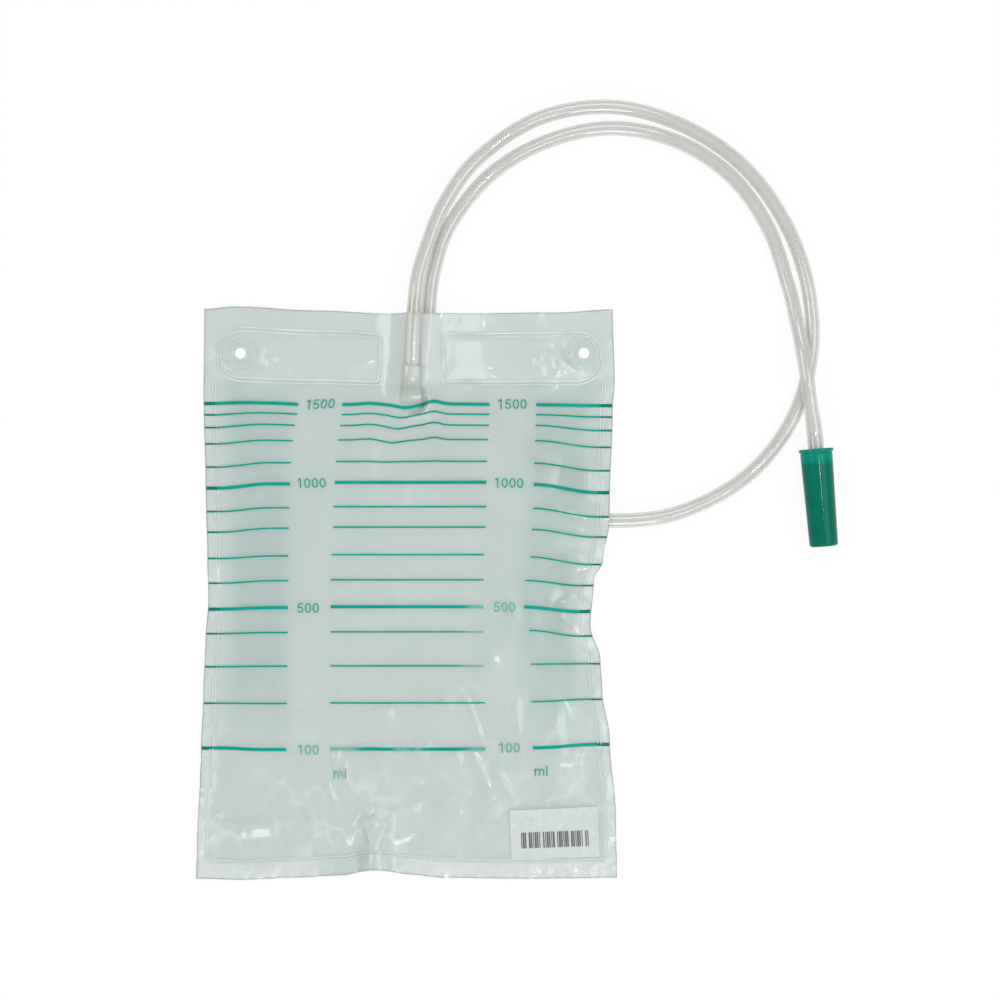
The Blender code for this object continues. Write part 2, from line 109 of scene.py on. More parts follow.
bpy.ops.mesh.primitive_plane_add(size=TABLE_SIZE, location=(0.0, 0.0, -TABLE_DROP))
floor = bpy.context.object
floor.name = "table"
floor_finish = bpy.data.materials.new("pale_table")
floor_finish.use_nodes = True
nodes, links = floor_finish.node_tree.nodes, floor_finish.node_tree.links
nodes.clear()
painted = nodes.new("ShaderNodeBsdfDiffuse")
painted.inputs["Color"].default_value = TABLE_TINT
white = nodes.new("ShaderNodeEmission")
white.inputs["Strength"].default_value = 1.0
rays = nodes.new("ShaderNodeLightPath").outputs
seen = math_node(nodes, links, "MAXIMUM", rays["Is Camera Ray"], rays["Is Glossy Ray"])
seen = math_node(nodes, links, "MAXIMUM", seen, rays["Is Transmission Ray"])
blend = nodes.new("ShaderNodeMixShader")
surface = nodes.new("ShaderNodeOutputMaterial")
links.new(math_node(nodes, links, "MULTIPLY", seen, TABLE_WHITE_SHARE), blend.inputs["Fac"])
links.new(painted.outputs[0], blend.inputs[1])
links.new(white.outputs[0], blend.inputs[2])
links.new(blend.outputs[0], surface.inputs["Surface"])
floor.data.materials.append(floor_finish)

# Catheter connector.
# A stepped, tapered plug moulded in clear hard plastic. Its barbed spigot is pushed into the
# tube, its flange stops the cap, and its three cones fit catheters of different bores.

CLEARANCE = 0.0003
CAP_MOUTH = (0.1895, 0.0669)
CAP_TURN = math.radians(4.7)
CAP_LIP_RADIUS = 0.0080
TUBE_ENTRY = 0.0030
CAP_LENGTH = 0.0453
CAP_LIP_HEIGHT = 0.0016
CAP_MOUTH_RADIUS = 0.0075
CAP_END_RADIUS = 0.0066
CAP_WALL = 0.0012
CAP_EDGE_ROUND = 0.0014
FLANGE_THICKNESS = 0.0015
FLANGE_EDGE = 0.0003
CONE_STEPS = 3
CONE_STEP_LENGTH = 0.0112
CONE_BASE_RADIUS = 0.0052
CONE_TIP_RADIUS = 0.0034
CONE_STEP_TAPER = 0.0003
CONE_STEP_ROUND = 0.0006
CONNECTOR_BORE_RADIUS = 0.0018
SPIGOT_RADIUS = 0.0025
SPIGOT_BARB = 0.0002
SPIGOT_LENGTH = 0.0110
SPIGOT_BARBS = 3
TURN_STEPS = 72
SPIGOT_TIP = 0.0005
SPIGOT_TIP_TAPER = 0.0003
SPIGOT_PLAIN_FOOT = 0.0030
BARB_SLOPE_SHARE = 0.85
BARB_STEP_SHARE = 0.90
CONNECTOR_TINTS = ((0.72, 0.76, 0.75), (0.84, 0.87, 0.86))
CONNECTOR_ROUGHNESS = (0.12, 0.25)
CONNECTOR_ALPHA = (0.84, 0.92)


def fresh_material(name, ior=1.5):
    """A new material with its nodes, links and shader."""
    made = bpy.data.materials.new(name)
    made.use_nodes = True
    tree = made.node_tree
    shader = tree.nodes["Principled BSDF"]
    shader.inputs["IOR"].default_value = ior
    return made, tree.nodes, tree.links, shader


def object_noise(nodes, links, scale, detail, roughness=0.5, stretch=None):
    """Noise from 0 to 1 that is fixed to the piece, in its own metres."""
    place = nodes.new("ShaderNodeTexCoord").outputs["Object"]
    if stretch:
        stretched = nodes.new("ShaderNodeMapping")
        stretched.inputs["Scale"].default_value = stretch
        links.new(place, stretched.inputs["Vector"])
        place = stretched.outputs["Vector"]
    grain = nodes.new("ShaderNodeTexNoise")
    grain.inputs["Scale"].default_value = scale
    grain.inputs["Detail"].default_value = detail
    grain.inputs["Roughness"].default_value = roughness
    links.new(place, grain.inputs["Vector"])
    return grain.outputs["Fac"]


def scaled(nodes, links, source, low, high):
    """A value from 0 to 1 mapped to a range."""
    fit = nodes.new("ShaderNodeMapRange")
    fit.inputs["To Min"].default_value = low
    fit.inputs["To Max"].default_value = high
    links.new(source, fit.inputs["Value"])
    return fit.outputs["Result"]


def two_tints(nodes, links, share, first, second):
    """A colour between two others, each a plain tint or a link."""
    mix = nodes.new("ShaderNodeMix")
    mix.data_type = "RGBA"
    links.new(share, mix.inputs["Factor"])
    for socket, tint in ((mix.inputs["A"], first), (mix.inputs["B"], second)):
        if isinstance(tint, tuple):
            socket.default_value = (*tint, 1.0)
        else:
            links.new(tint, socket)
    return mix.outputs["Result"]


def plain_finish(name, ior, grain, tints, roughness, alpha=None):
    """A material whose tint, roughness and cover drift a little with one fine noise."""
    made, nodes, links, shader = fresh_material(name, ior)
    drift = object_noise(nodes, links, *grain)
    links.new(two_tints(nodes, links, drift, *tints), shader.inputs["Base Color"])
    links.new(scaled(nodes, links, drift, *roughness), shader.inputs["Roughness"])
    if alpha:
        links.new(scaled(nodes, links, drift, *alpha), shader.inputs["Alpha"])
    return made


def dress(piece, finish):
    """Give a piece its one material."""
    piece.data.materials.clear()
    piece.data.materials.append(finish)


def turned(name, profile):
    """A turned solid: one vertex drawn out along the profile in edit mode, then spun."""
    bpy.ops.mesh.primitive_plane_add(size=0.001)
    made = bpy.context.object
    made.name = name
    bpy.ops.object.mode_set(mode="EDIT")
    bpy.ops.mesh.select_all(action="SELECT")
    bpy.ops.mesh.merge(type="CENTER")
    at = Vector((profile[0][0], 0.0, profile[0][1]))
    bpy.ops.transform.translate(value=at)
    for radius, height in profile[1:]:
        step = Vector((radius, 0.0, height))
        bpy.ops.mesh.extrude_region_move(TRANSFORM_OT_translate={"value": step - at})
        at = step
    bpy.ops.mesh.select_all(action="SELECT")
    bpy.ops.mesh.spin(steps=TURN_STEPS, angle=2 * math.pi, center=(0.0, 0.0, 0.0),
                      axis=(0.0, 0.0, 1.0))
    bpy.ops.mesh.select_all(action="SELECT")
    bpy.ops.mesh.remove_doubles(threshold=0.00001)
    bpy.ops.mesh.normals_make_consistent(inside=False)
    bpy.ops.object.mode_set(mode="OBJECT")
    made.location = (*CAP_MOUTH, CAP_LIP_RADIUS)
    made.rotation_euler = (-math.pi / 2, 0.0, CAP_TURN)
    bpy.ops.object.transform_apply(location=True, rotation=True, scale=True)
    bpy.ops.object.shade_smooth_by_angle(angle=math.radians(35))
    return made


def cap_inner_radius(depth):
    """Radius of the cap's hollow at a depth behind its mouth."""
    share = depth / CAP_LENGTH
    return CAP_MOUTH_RADIUS + (CAP_END_RADIUS - CAP_MOUTH_RADIUS) * share - CAP_WALL


def rounded_corner(radius, height, size, count=5):
    """Quarter round from a side down to an end face, as profile points."""
    points = []
    for step in range(count):
        angle = math.pi / 2 * step / (count - 1)
        points.append((radius - size + size * math.cos(angle),
                       height + size - size * math.sin(angle)))
    return points


back_face = -(TUBE_ENTRY + CLEARANCE)
front_face = back_face - FLANGE_THICKNESS
spigot_top = SPIGOT_LENGTH + back_face
flange_radius = cap_inner_radius(TUBE_ENTRY + FLANGE_THICKNESS) - CLEARANCE
connector_line = [(CONNECTOR_BORE_RADIUS, spigot_top),
                  (SPIGOT_RADIUS - SPIGOT_TIP_TAPER, spigot_top)]
barb_length = (SPIGOT_LENGTH - SPIGOT_PLAIN_FOOT) / SPIGOT_BARBS
for barb in range(SPIGOT_BARBS):
    top = spigot_top - SPIGOT_TIP - barb * barb_length
    connector_line += [(SPIGOT_RADIUS - SPIGOT_BARB / 2, top),
                       (SPIGOT_RADIUS + SPIGOT_BARB, top - barb_length * BARB_SLOPE_SHARE),
                       (SPIGOT_RADIUS - SPIGOT_BARB / 2, top - barb_length * BARB_STEP_SHARE)]
connector_line += [(SPIGOT_RADIUS, back_face), (flange_radius - FLANGE_EDGE, back_face),
                   (flange_radius, back_face - FLANGE_EDGE),
                   (flange_radius, front_face + FLANGE_EDGE),
                   (flange_radius - FLANGE_EDGE, front_face)]
cone_drop = (CONE_BASE_RADIUS - CONE_TIP_RADIUS) / (CONE_STEPS - 1)
cone_end = front_face
for step in range(CONE_STEPS):
    radius = CONE_BASE_RADIUS - cone_drop * step
    connector_line.append((radius, cone_end))
    cone_end -= CONE_STEP_LENGTH
    connector_line += rounded_corner(radius - CONE_STEP_TAPER, cone_end, CONE_STEP_ROUND, 4)
connector_line += [(CONNECTOR_BORE_RADIUS, cone_end), (CONNECTOR_BORE_RADIUS, spigot_top)]
connector = turned("connector", connector_line)
dress(connector, plain_finish("clear_hard_plastic", 1.49, (150.0, 3.0), CONNECTOR_TINTS,
                              CONNECTOR_ROUGHNESS, CONNECTOR_ALPHA))
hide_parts("catheter_connector")
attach(connector, "bag")

# Connector cap.
# A thin dark green cap, moulded in slightly translucent plastic and glossy outside. Its lip
# grips the flange, and it is pulled off along the tube before use.

LIP_EDGE = 0.0004
LIP_ROUND_SHARE = 0.3
UNDER_LIP_GROOVE = 0.0002
SIDE_START = 0.0010
SIDE_HOLD = 0.0007
# The mouth's glow is painted light: a paler tint where light comes through the thin wall
MOUTH_GLOW_SPAN = (-0.0085, -0.0040)
CAP_TINTS = ((0.000, 0.115, 0.074), (0.000, 0.160, 0.110))
CAP_MOUTH_GLOW_TINT = (0.000, 0.235, 0.170)
CAP_ROUGHNESS = (0.06, 0.11)

body_radius = cap_inner_radius(CAP_LIP_HEIGHT) + CAP_WALL
inner_round = max(CAP_EDGE_ROUND - CAP_WALL, CAP_EDGE_ROUND / 3)
cap_floor = -CAP_LENGTH + CAP_WALL
lip_round = LIP_EDGE * LIP_ROUND_SHARE
side_top = -CAP_LIP_HEIGHT - SIDE_START
side_foot = -CAP_LENGTH + CAP_EDGE_ROUND
cap_line = [(CAP_LIP_RADIUS - LIP_EDGE, 0.0), (CAP_LIP_RADIUS - lip_round, -lip_round),
            (CAP_LIP_RADIUS, -LIP_EDGE), (CAP_LIP_RADIUS, -CAP_LIP_HEIGHT + LIP_EDGE),
            (CAP_LIP_RADIUS - LIP_EDGE * 0.6, -CAP_LIP_HEIGHT + LIP_EDGE * 0.2),
            (body_radius - UNDER_LIP_GROOVE, -CAP_LIP_HEIGHT - UNDER_LIP_GROOVE),
            (body_radius, side_top)]
# A ring close to each end of the long side holds its shading straight, for one clean highlight
for height in (side_top - SIDE_HOLD, side_foot + SIDE_HOLD):
    down_side = (height - side_top) / (side_foot - side_top)
    cap_line.append((body_radius + (CAP_END_RADIUS - body_radius) * down_side, height))
cap_line += rounded_corner(CAP_END_RADIUS, -CAP_LENGTH, CAP_EDGE_ROUND, 7)
cap_line += [(0.0, -CAP_LENGTH), (0.0, cap_floor)]
cap_line += rounded_corner(cap_inner_radius(CAP_LENGTH - CAP_WALL), cap_floor, inner_round)[::-1]
cap_line += [(cap_inner_radius(0.0), -LIP_EDGE), (cap_inner_radius(0.0) + LIP_EDGE, 0.0),
             (CAP_LIP_RADIUS - LIP_EDGE, 0.0)]
cap = turned("green_cap", cap_line)


def rise_node(nodes, links, source, start, end):
    """Smooth rise of a value from 0 at the start to 1 at the end."""
    rise = nodes.new("ShaderNodeMapRange")
    rise.interpolation_type = "SMOOTHSTEP"
    rise.inputs["From Min"].default_value = start
    rise.inputs["From Max"].default_value = end
    links.new(source, rise.inputs["Value"])
    return rise.outputs["Result"]


cap_finish, nodes, links, shader = fresh_material("green_cap_plastic")
shader.inputs["Specular IOR Level"].default_value = 0.12
where = nodes.new("ShaderNodeTexCoord")
to_mouth = nodes.new("ShaderNodeMapping")
to_mouth.vector_type = "TEXTURE"
to_mouth.inputs["Location"].default_value = (*CAP_MOUTH, CAP_LIP_RADIUS)
to_mouth.inputs["Rotation"].default_value = (0.0, 0.0, CAP_TURN)
links.new(where.outputs["Object"], to_mouth.inputs["Vector"])
split = nodes.new("ShaderNodeSeparateXYZ")
links.new(to_mouth.outputs["Vector"], split.inputs[0])
# Painted light: the cap is paler near its mouth, where light shines through its thin wall into the
# hollow
mouth_glow = rise_node(nodes, links, split.outputs["Y"], *MOUTH_GLOW_SPAN)
swirl = object_noise(nodes, links, 120.0, 3.0)
tint = two_tints(nodes, links, swirl, *CAP_TINTS)
tint = two_tints(nodes, links, mouth_glow, tint, CAP_MOUTH_GLOW_TINT)
links.new(tint, shader.inputs["Base Color"])
links.new(scaled(nodes, links, swirl, *CAP_ROUGHNESS), shader.inputs["Roughness"])
dress(cap, cap_finish)
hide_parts("connector_cap")
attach(cap, "cap")

# Inlet tube.
# Soft frosted PVC tube, extruded in one length. It starts at the valve inside the bag, loops
# round, passes under the bag, loops again and is pushed over the connector's spigot.

TUBE_DIAMETER = 0.0068
TUBE_WALL = 0.0010
TUBE_FLARE = 1.12
FLARE_LENGTH = 0.011
STRAIGHT_INTO_CAP = 0.0085
TUBE_RINGS = 420
BAG_MOUTH_Y = 0.1420
BAG_MOUTH_FADE = 0.0140
CURVE_STEPS = 24
IN_BAG_POINTS = 3
IN_BAG_REACH = 0.62 * TUBE_DIAMETER
IN_BAG_ALPHA = 0.85
IN_BAG_TINT = (0.53, 0.50, 0.39)
TUBE_TINTS = ((0.60, 0.62, 0.57), (0.70, 0.72, 0.67))
TUBE_ROUGHNESS = (0.16, 0.26)
TUBE_ALPHA = (0.44, 0.54)
# Points of the route: x and y in metres, and how far the tube is lifted there, in its own widths
ROUTE = (
    (0.0025, 0.1013, 0.52),
    (0.0032, 0.1200, 0.68),
    (0.0038, 0.1315, 0.75),
    (0.0054, 0.1465, 0.70),
    (0.0098, 0.1612, 0.62),
    (0.0180, 0.1812, 0.38),
    (0.0334, 0.2020, 0.05),
    (0.0617, 0.2205, 0.0),
    (0.0955, 0.2257, 0.0),
    (0.1280, 0.2172, 0.0),
    (0.1554, 0.1992, 0.0),
    (0.1749, 0.1736, 0.0),
    (0.1861, 0.1437, 0.0),
    (0.1880, 0.1114, 0.0),
    (0.1786, 0.0797, 0.0),
    (0.1575, 0.0538, 0.0),
    (0.1270, 0.0375, 0.0),
    (0.0982, 0.0336, 0.0),
    (0.0764, 0.0367, 0.0),
    (0.0545, 0.0458, 0.0),
    (0.0357, 0.0603, 0.0),
    (0.0212, 0.0791, 0.0),
    (0.0122, 0.1010, 0.0),
    (0.0100, 0.1190, 0.0),
    (0.0105, 0.1330, 0.0),
    (0.0128, 0.1500, 0.0),
    (0.0203, 0.1712, 0.0),
    (0.0394, 0.1946, 0.0),
    (0.0656, 0.2098, 0.0),
    (0.0955, 0.2158, 0.0),
    (0.1253, 0.2098, 0.0),
    (0.1507, 0.1935, 0.0),
    (0.1679, 0.1696, 0.0),
    (0.1773, 0.1422, 0.05),
    (0.1807, 0.1268, 0.34),
    (0.1832, 0.1125, 0.84),
    (0.1852, 0.0989, 1.04),
    (0.1865, 0.0896, 0.92),
)


def route_points():
    """The listed route, with a straight end in the mouth of the cap."""
    points = []
    for x, y, lift in ROUTE:
        height = TUBE_DIAMETER / 2 + lift * (TUBE_DIAMETER + CLEARANCE)
        points.append(Vector((x, y, height)))
    into_cap = Vector((math.sin(CAP_TURN), -math.cos(CAP_TURN), 0.0))
    mouth = Vector((CAP_MOUTH[0], CAP_MOUTH[1], CAP_LIP_RADIUS))
    points.append(mouth - into_cap * STRAIGHT_INTO_CAP)
    points.append(mouth + into_cap * TUBE_ENTRY)
    return points


def smooth_curve(points, steps):
    """Catmull-Rom curve through the points, each with its share of the route."""
    curve = []
    ends = [points[0]] + points + [points[-1]]
    for index in range(len(points) - 1):
        before, start, end, after = ends[index:index + 4]
        for step in range(steps):
            t = step / steps
            place = (start * 2 + (end - before) * t
                     + (before * 2 - start * 5 + end * 4 - after) * t * t
                     + (start * 3 - before - end * 3 + after) * t ** 3) / 2
            curve.append((index + t, place))
    curve.append((len(points) - 1.0, points[-1]))
    return curve


def even_points(curve, count):
    """Points at equal distances along the curve."""
    lengths = [0.0]
    for (_, a), (_, b) in zip(curve, curve[1:]):
        lengths.append(lengths[-1] + (b - a).length)
    chosen = []
    cursor = 0
    for number in range(count):
        target = lengths[-1] * number / (count - 1)
        while cursor < len(lengths) - 2 and lengths[cursor + 1] < target:
            cursor += 1
        part = (target - lengths[cursor]) / (lengths[cursor + 1] - lengths[cursor])
        index_a, place_a = curve[cursor]
        index_b, place_b = curve[cursor + 1]
        chosen.append((index_a + (index_b - index_a) * part, place_a.lerp(place_b, part)))
    return chosen


def eased(value):
    """Smooth rise from 0 at 0 to 1 at 1, for a number or an array."""
    value = np.clip(value, 0.0, 1.0)
    return value * value * (3.0 - 2.0 * value)


tube_path = even_points(smooth_curve(route_points(), CURVE_STEPS), TUBE_RINGS)
tube_curve = bpy.data.curves.new("tube_line", "CURVE")
tube_curve.dimensions = "3D"
tube_curve.bevel_depth = TUBE_DIAMETER / 2
tube_curve.bevel_resolution = 5
spline = tube_curve.splines.new("POLY")
spline.points.add(len(tube_path) - 1)
to_end = 0.0
for number in range(len(tube_path) - 1, -1, -1):
    place = tube_path[number][1]
    if number < len(tube_path) - 1:
        to_end += (tube_path[number + 1][1] - place).length
    spline.points[number].co = (place.x, place.y, place.z, 1.0)
    flare = eased(2.0 - to_end / FLARE_LENGTH)
    spline.points[number].radius = 1.0 + (TUBE_FLARE - 1.0) * float(flare)
tube = bpy.data.objects.new("drain_tube", tube_curve)
scene.collection.objects.link(tube)


def make_active(piece):
    """Select one piece alone."""
    bpy.ops.object.select_all(action="DESELECT")
    piece.select_set(True)
    bpy.context.view_layer.objects.active = piece


def give_wall(piece, name, thickness, offset):
    """Thicken a piece to a wall: inwards at offset -1, outwards at 1."""
    make_active(piece)
    wall = piece.modifiers.new(name, "SOLIDIFY")
    wall.thickness = thickness
    wall.offset = offset
    bpy.ops.object.modifier_apply(modifier=name)


def give_values(piece, name, values):
    """Store a value at each of a piece's points, for its material."""
    stored = piece.data.attributes.new(name, "FLOAT", "POINT")
    stored.data.foreach_set("value", values)


def stored_values(nodes, name):
    """The values that a piece has stored at its points."""
    stored = nodes.new("ShaderNodeAttribute")
    stored.attribute_name = name
    return stored.outputs["Fac"]


make_active(tube)
bpy.ops.object.convert(target="MESH")
tube = bpy.context.object
give_wall(tube, "bore", TUBE_WALL, -1.0)
bpy.ops.object.shade_smooth_by_angle(angle=math.radians(50))
places = np.array([tuple(vertex.co) for vertex in tube.data.vertices])
inner_line = np.array([tuple(place) for index, place in tube_path if index < IN_BAG_POINTS])
off_line = np.linalg.norm(places[:, None, :] - inner_line[None, :, :], axis=2).min(axis=1)
past_mouth = eased((BAG_MOUTH_Y - places[:, 1]) / BAG_MOUTH_FADE)
give_values(tube, "in_bag", past_mouth * (off_line < IN_BAG_REACH))

tube_finish, nodes, links, shader = fresh_material("frosted_tube")
shader.inputs["Coat Weight"].default_value = 1.0
shader.inputs["Coat IOR"].default_value = 2.0
shader.inputs["Coat Roughness"].default_value = 0.06
cloud = object_noise(nodes, links, 60.0, 2.0)
inner_end = stored_values(nodes, "in_bag")
tint = two_tints(nodes, links, cloud, *TUBE_TINTS)
tint = two_tints(nodes, links, inner_end, tint, IN_BAG_TINT)
links.new(tint, shader.inputs["Base Color"])
links.new(scaled(nodes, links, cloud, *TUBE_ROUGHNESS), shader.inputs["Roughness"])
clear_tube = scaled(nodes, links, cloud, *TUBE_ALPHA)
opaque_end = math_node(nodes, links, "MULTIPLY", inner_end, IN_BAG_ALPHA)
links.new(math_node(nodes, links, "MAXIMUM", clear_tube, opaque_end), shader.inputs["Alpha"])
dress(tube, tube_finish)

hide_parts("inlet_tube")
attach(tube, "bag")

# Non-return valve.
# A flat sleeve of thin film, slipped over the tube's inner end: round there, pressed flat at
# its tip, so that it lets liquid in and not back out.

VALVE_WIDTH = 0.0104
VALVE_WALL = 0.00025
VALVE_TIP_THICKNESS = 0.0011
VALVE_LENGTH = 0.0165
VALVE_GRIP = 0.0040
VALVE_TIP_HEIGHT = 0.0021
VALVE_RINGS = 24
VALVE_SIDES = 40
VALVE_TINTS = ((0.49, 0.52, 0.45), (0.55, 0.58, 0.51))
VALVE_ROUGHNESS = (0.3, 0.45)


def valve_ring(along):
    """Centre, half width and half height of the sleeve at a distance past the tube's end."""
    fit_radius = TUBE_DIAMETER / 2 + CLEARANCE + VALVE_WALL
    start = tube_path[0][1]
    heading = (tube_path[0][1] - tube_path[1][1]).normalized()
    if along <= 0.0:
        return start + heading * along, fit_radius, fit_radius
    level = Vector((heading.x, heading.y, 0.0)).normalized()
    ease = float(eased(along / (VALVE_LENGTH - VALVE_GRIP)))
    centre = start + level * along
    centre.z = start.z + (VALVE_TIP_HEIGHT - start.z) * ease
    half_width = fit_radius + (VALVE_WIDTH / 2 - fit_radius) * ease
    half_height = fit_radius + (VALVE_TIP_THICKNESS / 2 - fit_radius) * ease
    return centre, half_width, half_height


valve_rings = []
for number in range(VALVE_RINGS):
    distance = -VALVE_GRIP + VALVE_LENGTH * number / (VALVE_RINGS - 1)
    valve_rings.append(valve_ring(distance))
bpy.ops.mesh.primitive_cylinder_add(vertices=VALVE_SIDES, radius=1.0, depth=1.0,
                                    end_fill_type="NOTHING")
valve = bpy.context.object
valve.name = "valve_sleeve"
bpy.ops.object.mode_set(mode="EDIT")
edit = bmesh.from_edit_mesh(valve.data)
upright_edges = [e for e in edit.edges if abs(e.verts[0].co.z - e.verts[1].co.z) > 0.5]
bmesh.ops.subdivide_edges(edit, edges=upright_edges, cuts=VALVE_RINGS - 2, use_grid_fill=True)
for vertex in edit.verts:
    level = int(round((vertex.co.z + 0.5) * (VALVE_RINGS - 1)))
    centre, half_width, half_height = valve_rings[level]
    heading = valve_rings[min(level + 1, VALVE_RINGS - 1)][0] - valve_rings[max(level - 1, 0)][0]
    side = heading.cross(Vector((0.0, 0.0, 1.0))).normalized()
    angle = math.atan2(vertex.co.y, vertex.co.x)
    shift = 0.0
    if abs(math.cos(angle)) > 1e-6:
        shift = math.copysign(half_width - half_height, math.cos(angle))
    across = shift + half_height * math.cos(angle)
    vertex.co = centre + side * across + Vector((0.0, 0.0, half_height * math.sin(angle)))
bmesh.ops.recalc_face_normals(edit, faces=edit.faces[:])
bmesh.update_edit_mesh(valve.data)
bpy.ops.object.mode_set(mode="OBJECT")
give_wall(valve, "wall", VALVE_WALL, -1.0)
bpy.ops.object.shade_smooth_by_angle(angle=math.radians(40))
dress(valve, plain_finish("clear_sleeve", 1.5, (260.0, 2.0), VALVE_TINTS, VALVE_ROUGHNESS))
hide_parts("non_return_valve")
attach(valve, "bag")

# Back film.
# The plain rear wall of the bag: soft PVC sheet, cut with the front one and welded to it. It
# lies on the table, over the hidden stretch of tube, and rises with the folds of the bag.

MM = 0.001
BAG_WIDTH = 0.1956
BAG_HEIGHT = 0.2666
FILM_WALL = 0.00025
UNDER_BAG_SPAN = (16, 25)
TENT_HALF_WIDTH = 0.0300
SHOULDER_HALF_WIDTH = 0.0180
SHOULDER_SHARE = 0.70
SHOULDER_FADE = 0.010
HUG_STEEPNESS = 2.0
HEADER_DEPTH = 0.0340
BOTTOM_FOLD_HEIGHT = 0.0055
BOTTOM_FOLD_HALF_WIDTH = 0.0105
BOTTOM_FOLD_LENGTH = 0.042
BOTTOM_FOLD_X = -0.0145
EDGE_BUCKLE_HEIGHT = 0.0052
EDGE_BUCKLE_PLACE = (0.078, -0.007)
EDGE_BUCKLE_SPREAD = (0.008, 0.015)
EDGE_REACH = 0.075
SPINE_ROOM = 0.00035
FILM_COLUMNS = 188
FILM_ROWS = 256
HOLE_DIAMETER = 0.0050
HOLES = ((-0.0774, 0.1115), (0.0825, 0.1115))
LEFT_EDGE = ((-0.1333, 0.0), (-0.118, 0.0005), (-0.073, 0.0023), (-0.045, 0.0033),
             (-0.022, 0.0042), (-0.003, 0.0056), (0.015, 0.0051), (0.052, 0.0042),
             (0.090, 0.0033), (0.1333, 0.0037))
RIGHT_EDGE = ((-0.1333, 0.0), (-0.105, 0.0005), (-0.068, 0.0033), (-0.045, 0.0068),
              (-0.031, 0.0076), (-0.015, 0.0125), (0.006, 0.0107), (0.015, 0.0065),
              (0.034, 0.0037), (0.085, 0.0019), (0.099, 0.0010), (0.1333, 0.0019))
TOP_EDGE = ((-0.0978, 0.0012), (-0.084, 0.0), (-0.045, 0.0019), (0.0, 0.0037),
            (0.072, 0.0028), (0.0978, 0.0014))
BOTTOM_EDGE = ((-0.0978, 0.0005), (-0.077, 0.0), (-0.055, 0.0009), (-0.030, 0.0020),
               (-0.0145, 0.0051), (0.001, 0.0025), (0.018, 0.0009), (0.057, 0.0005),
               (0.0978, 0.0009))

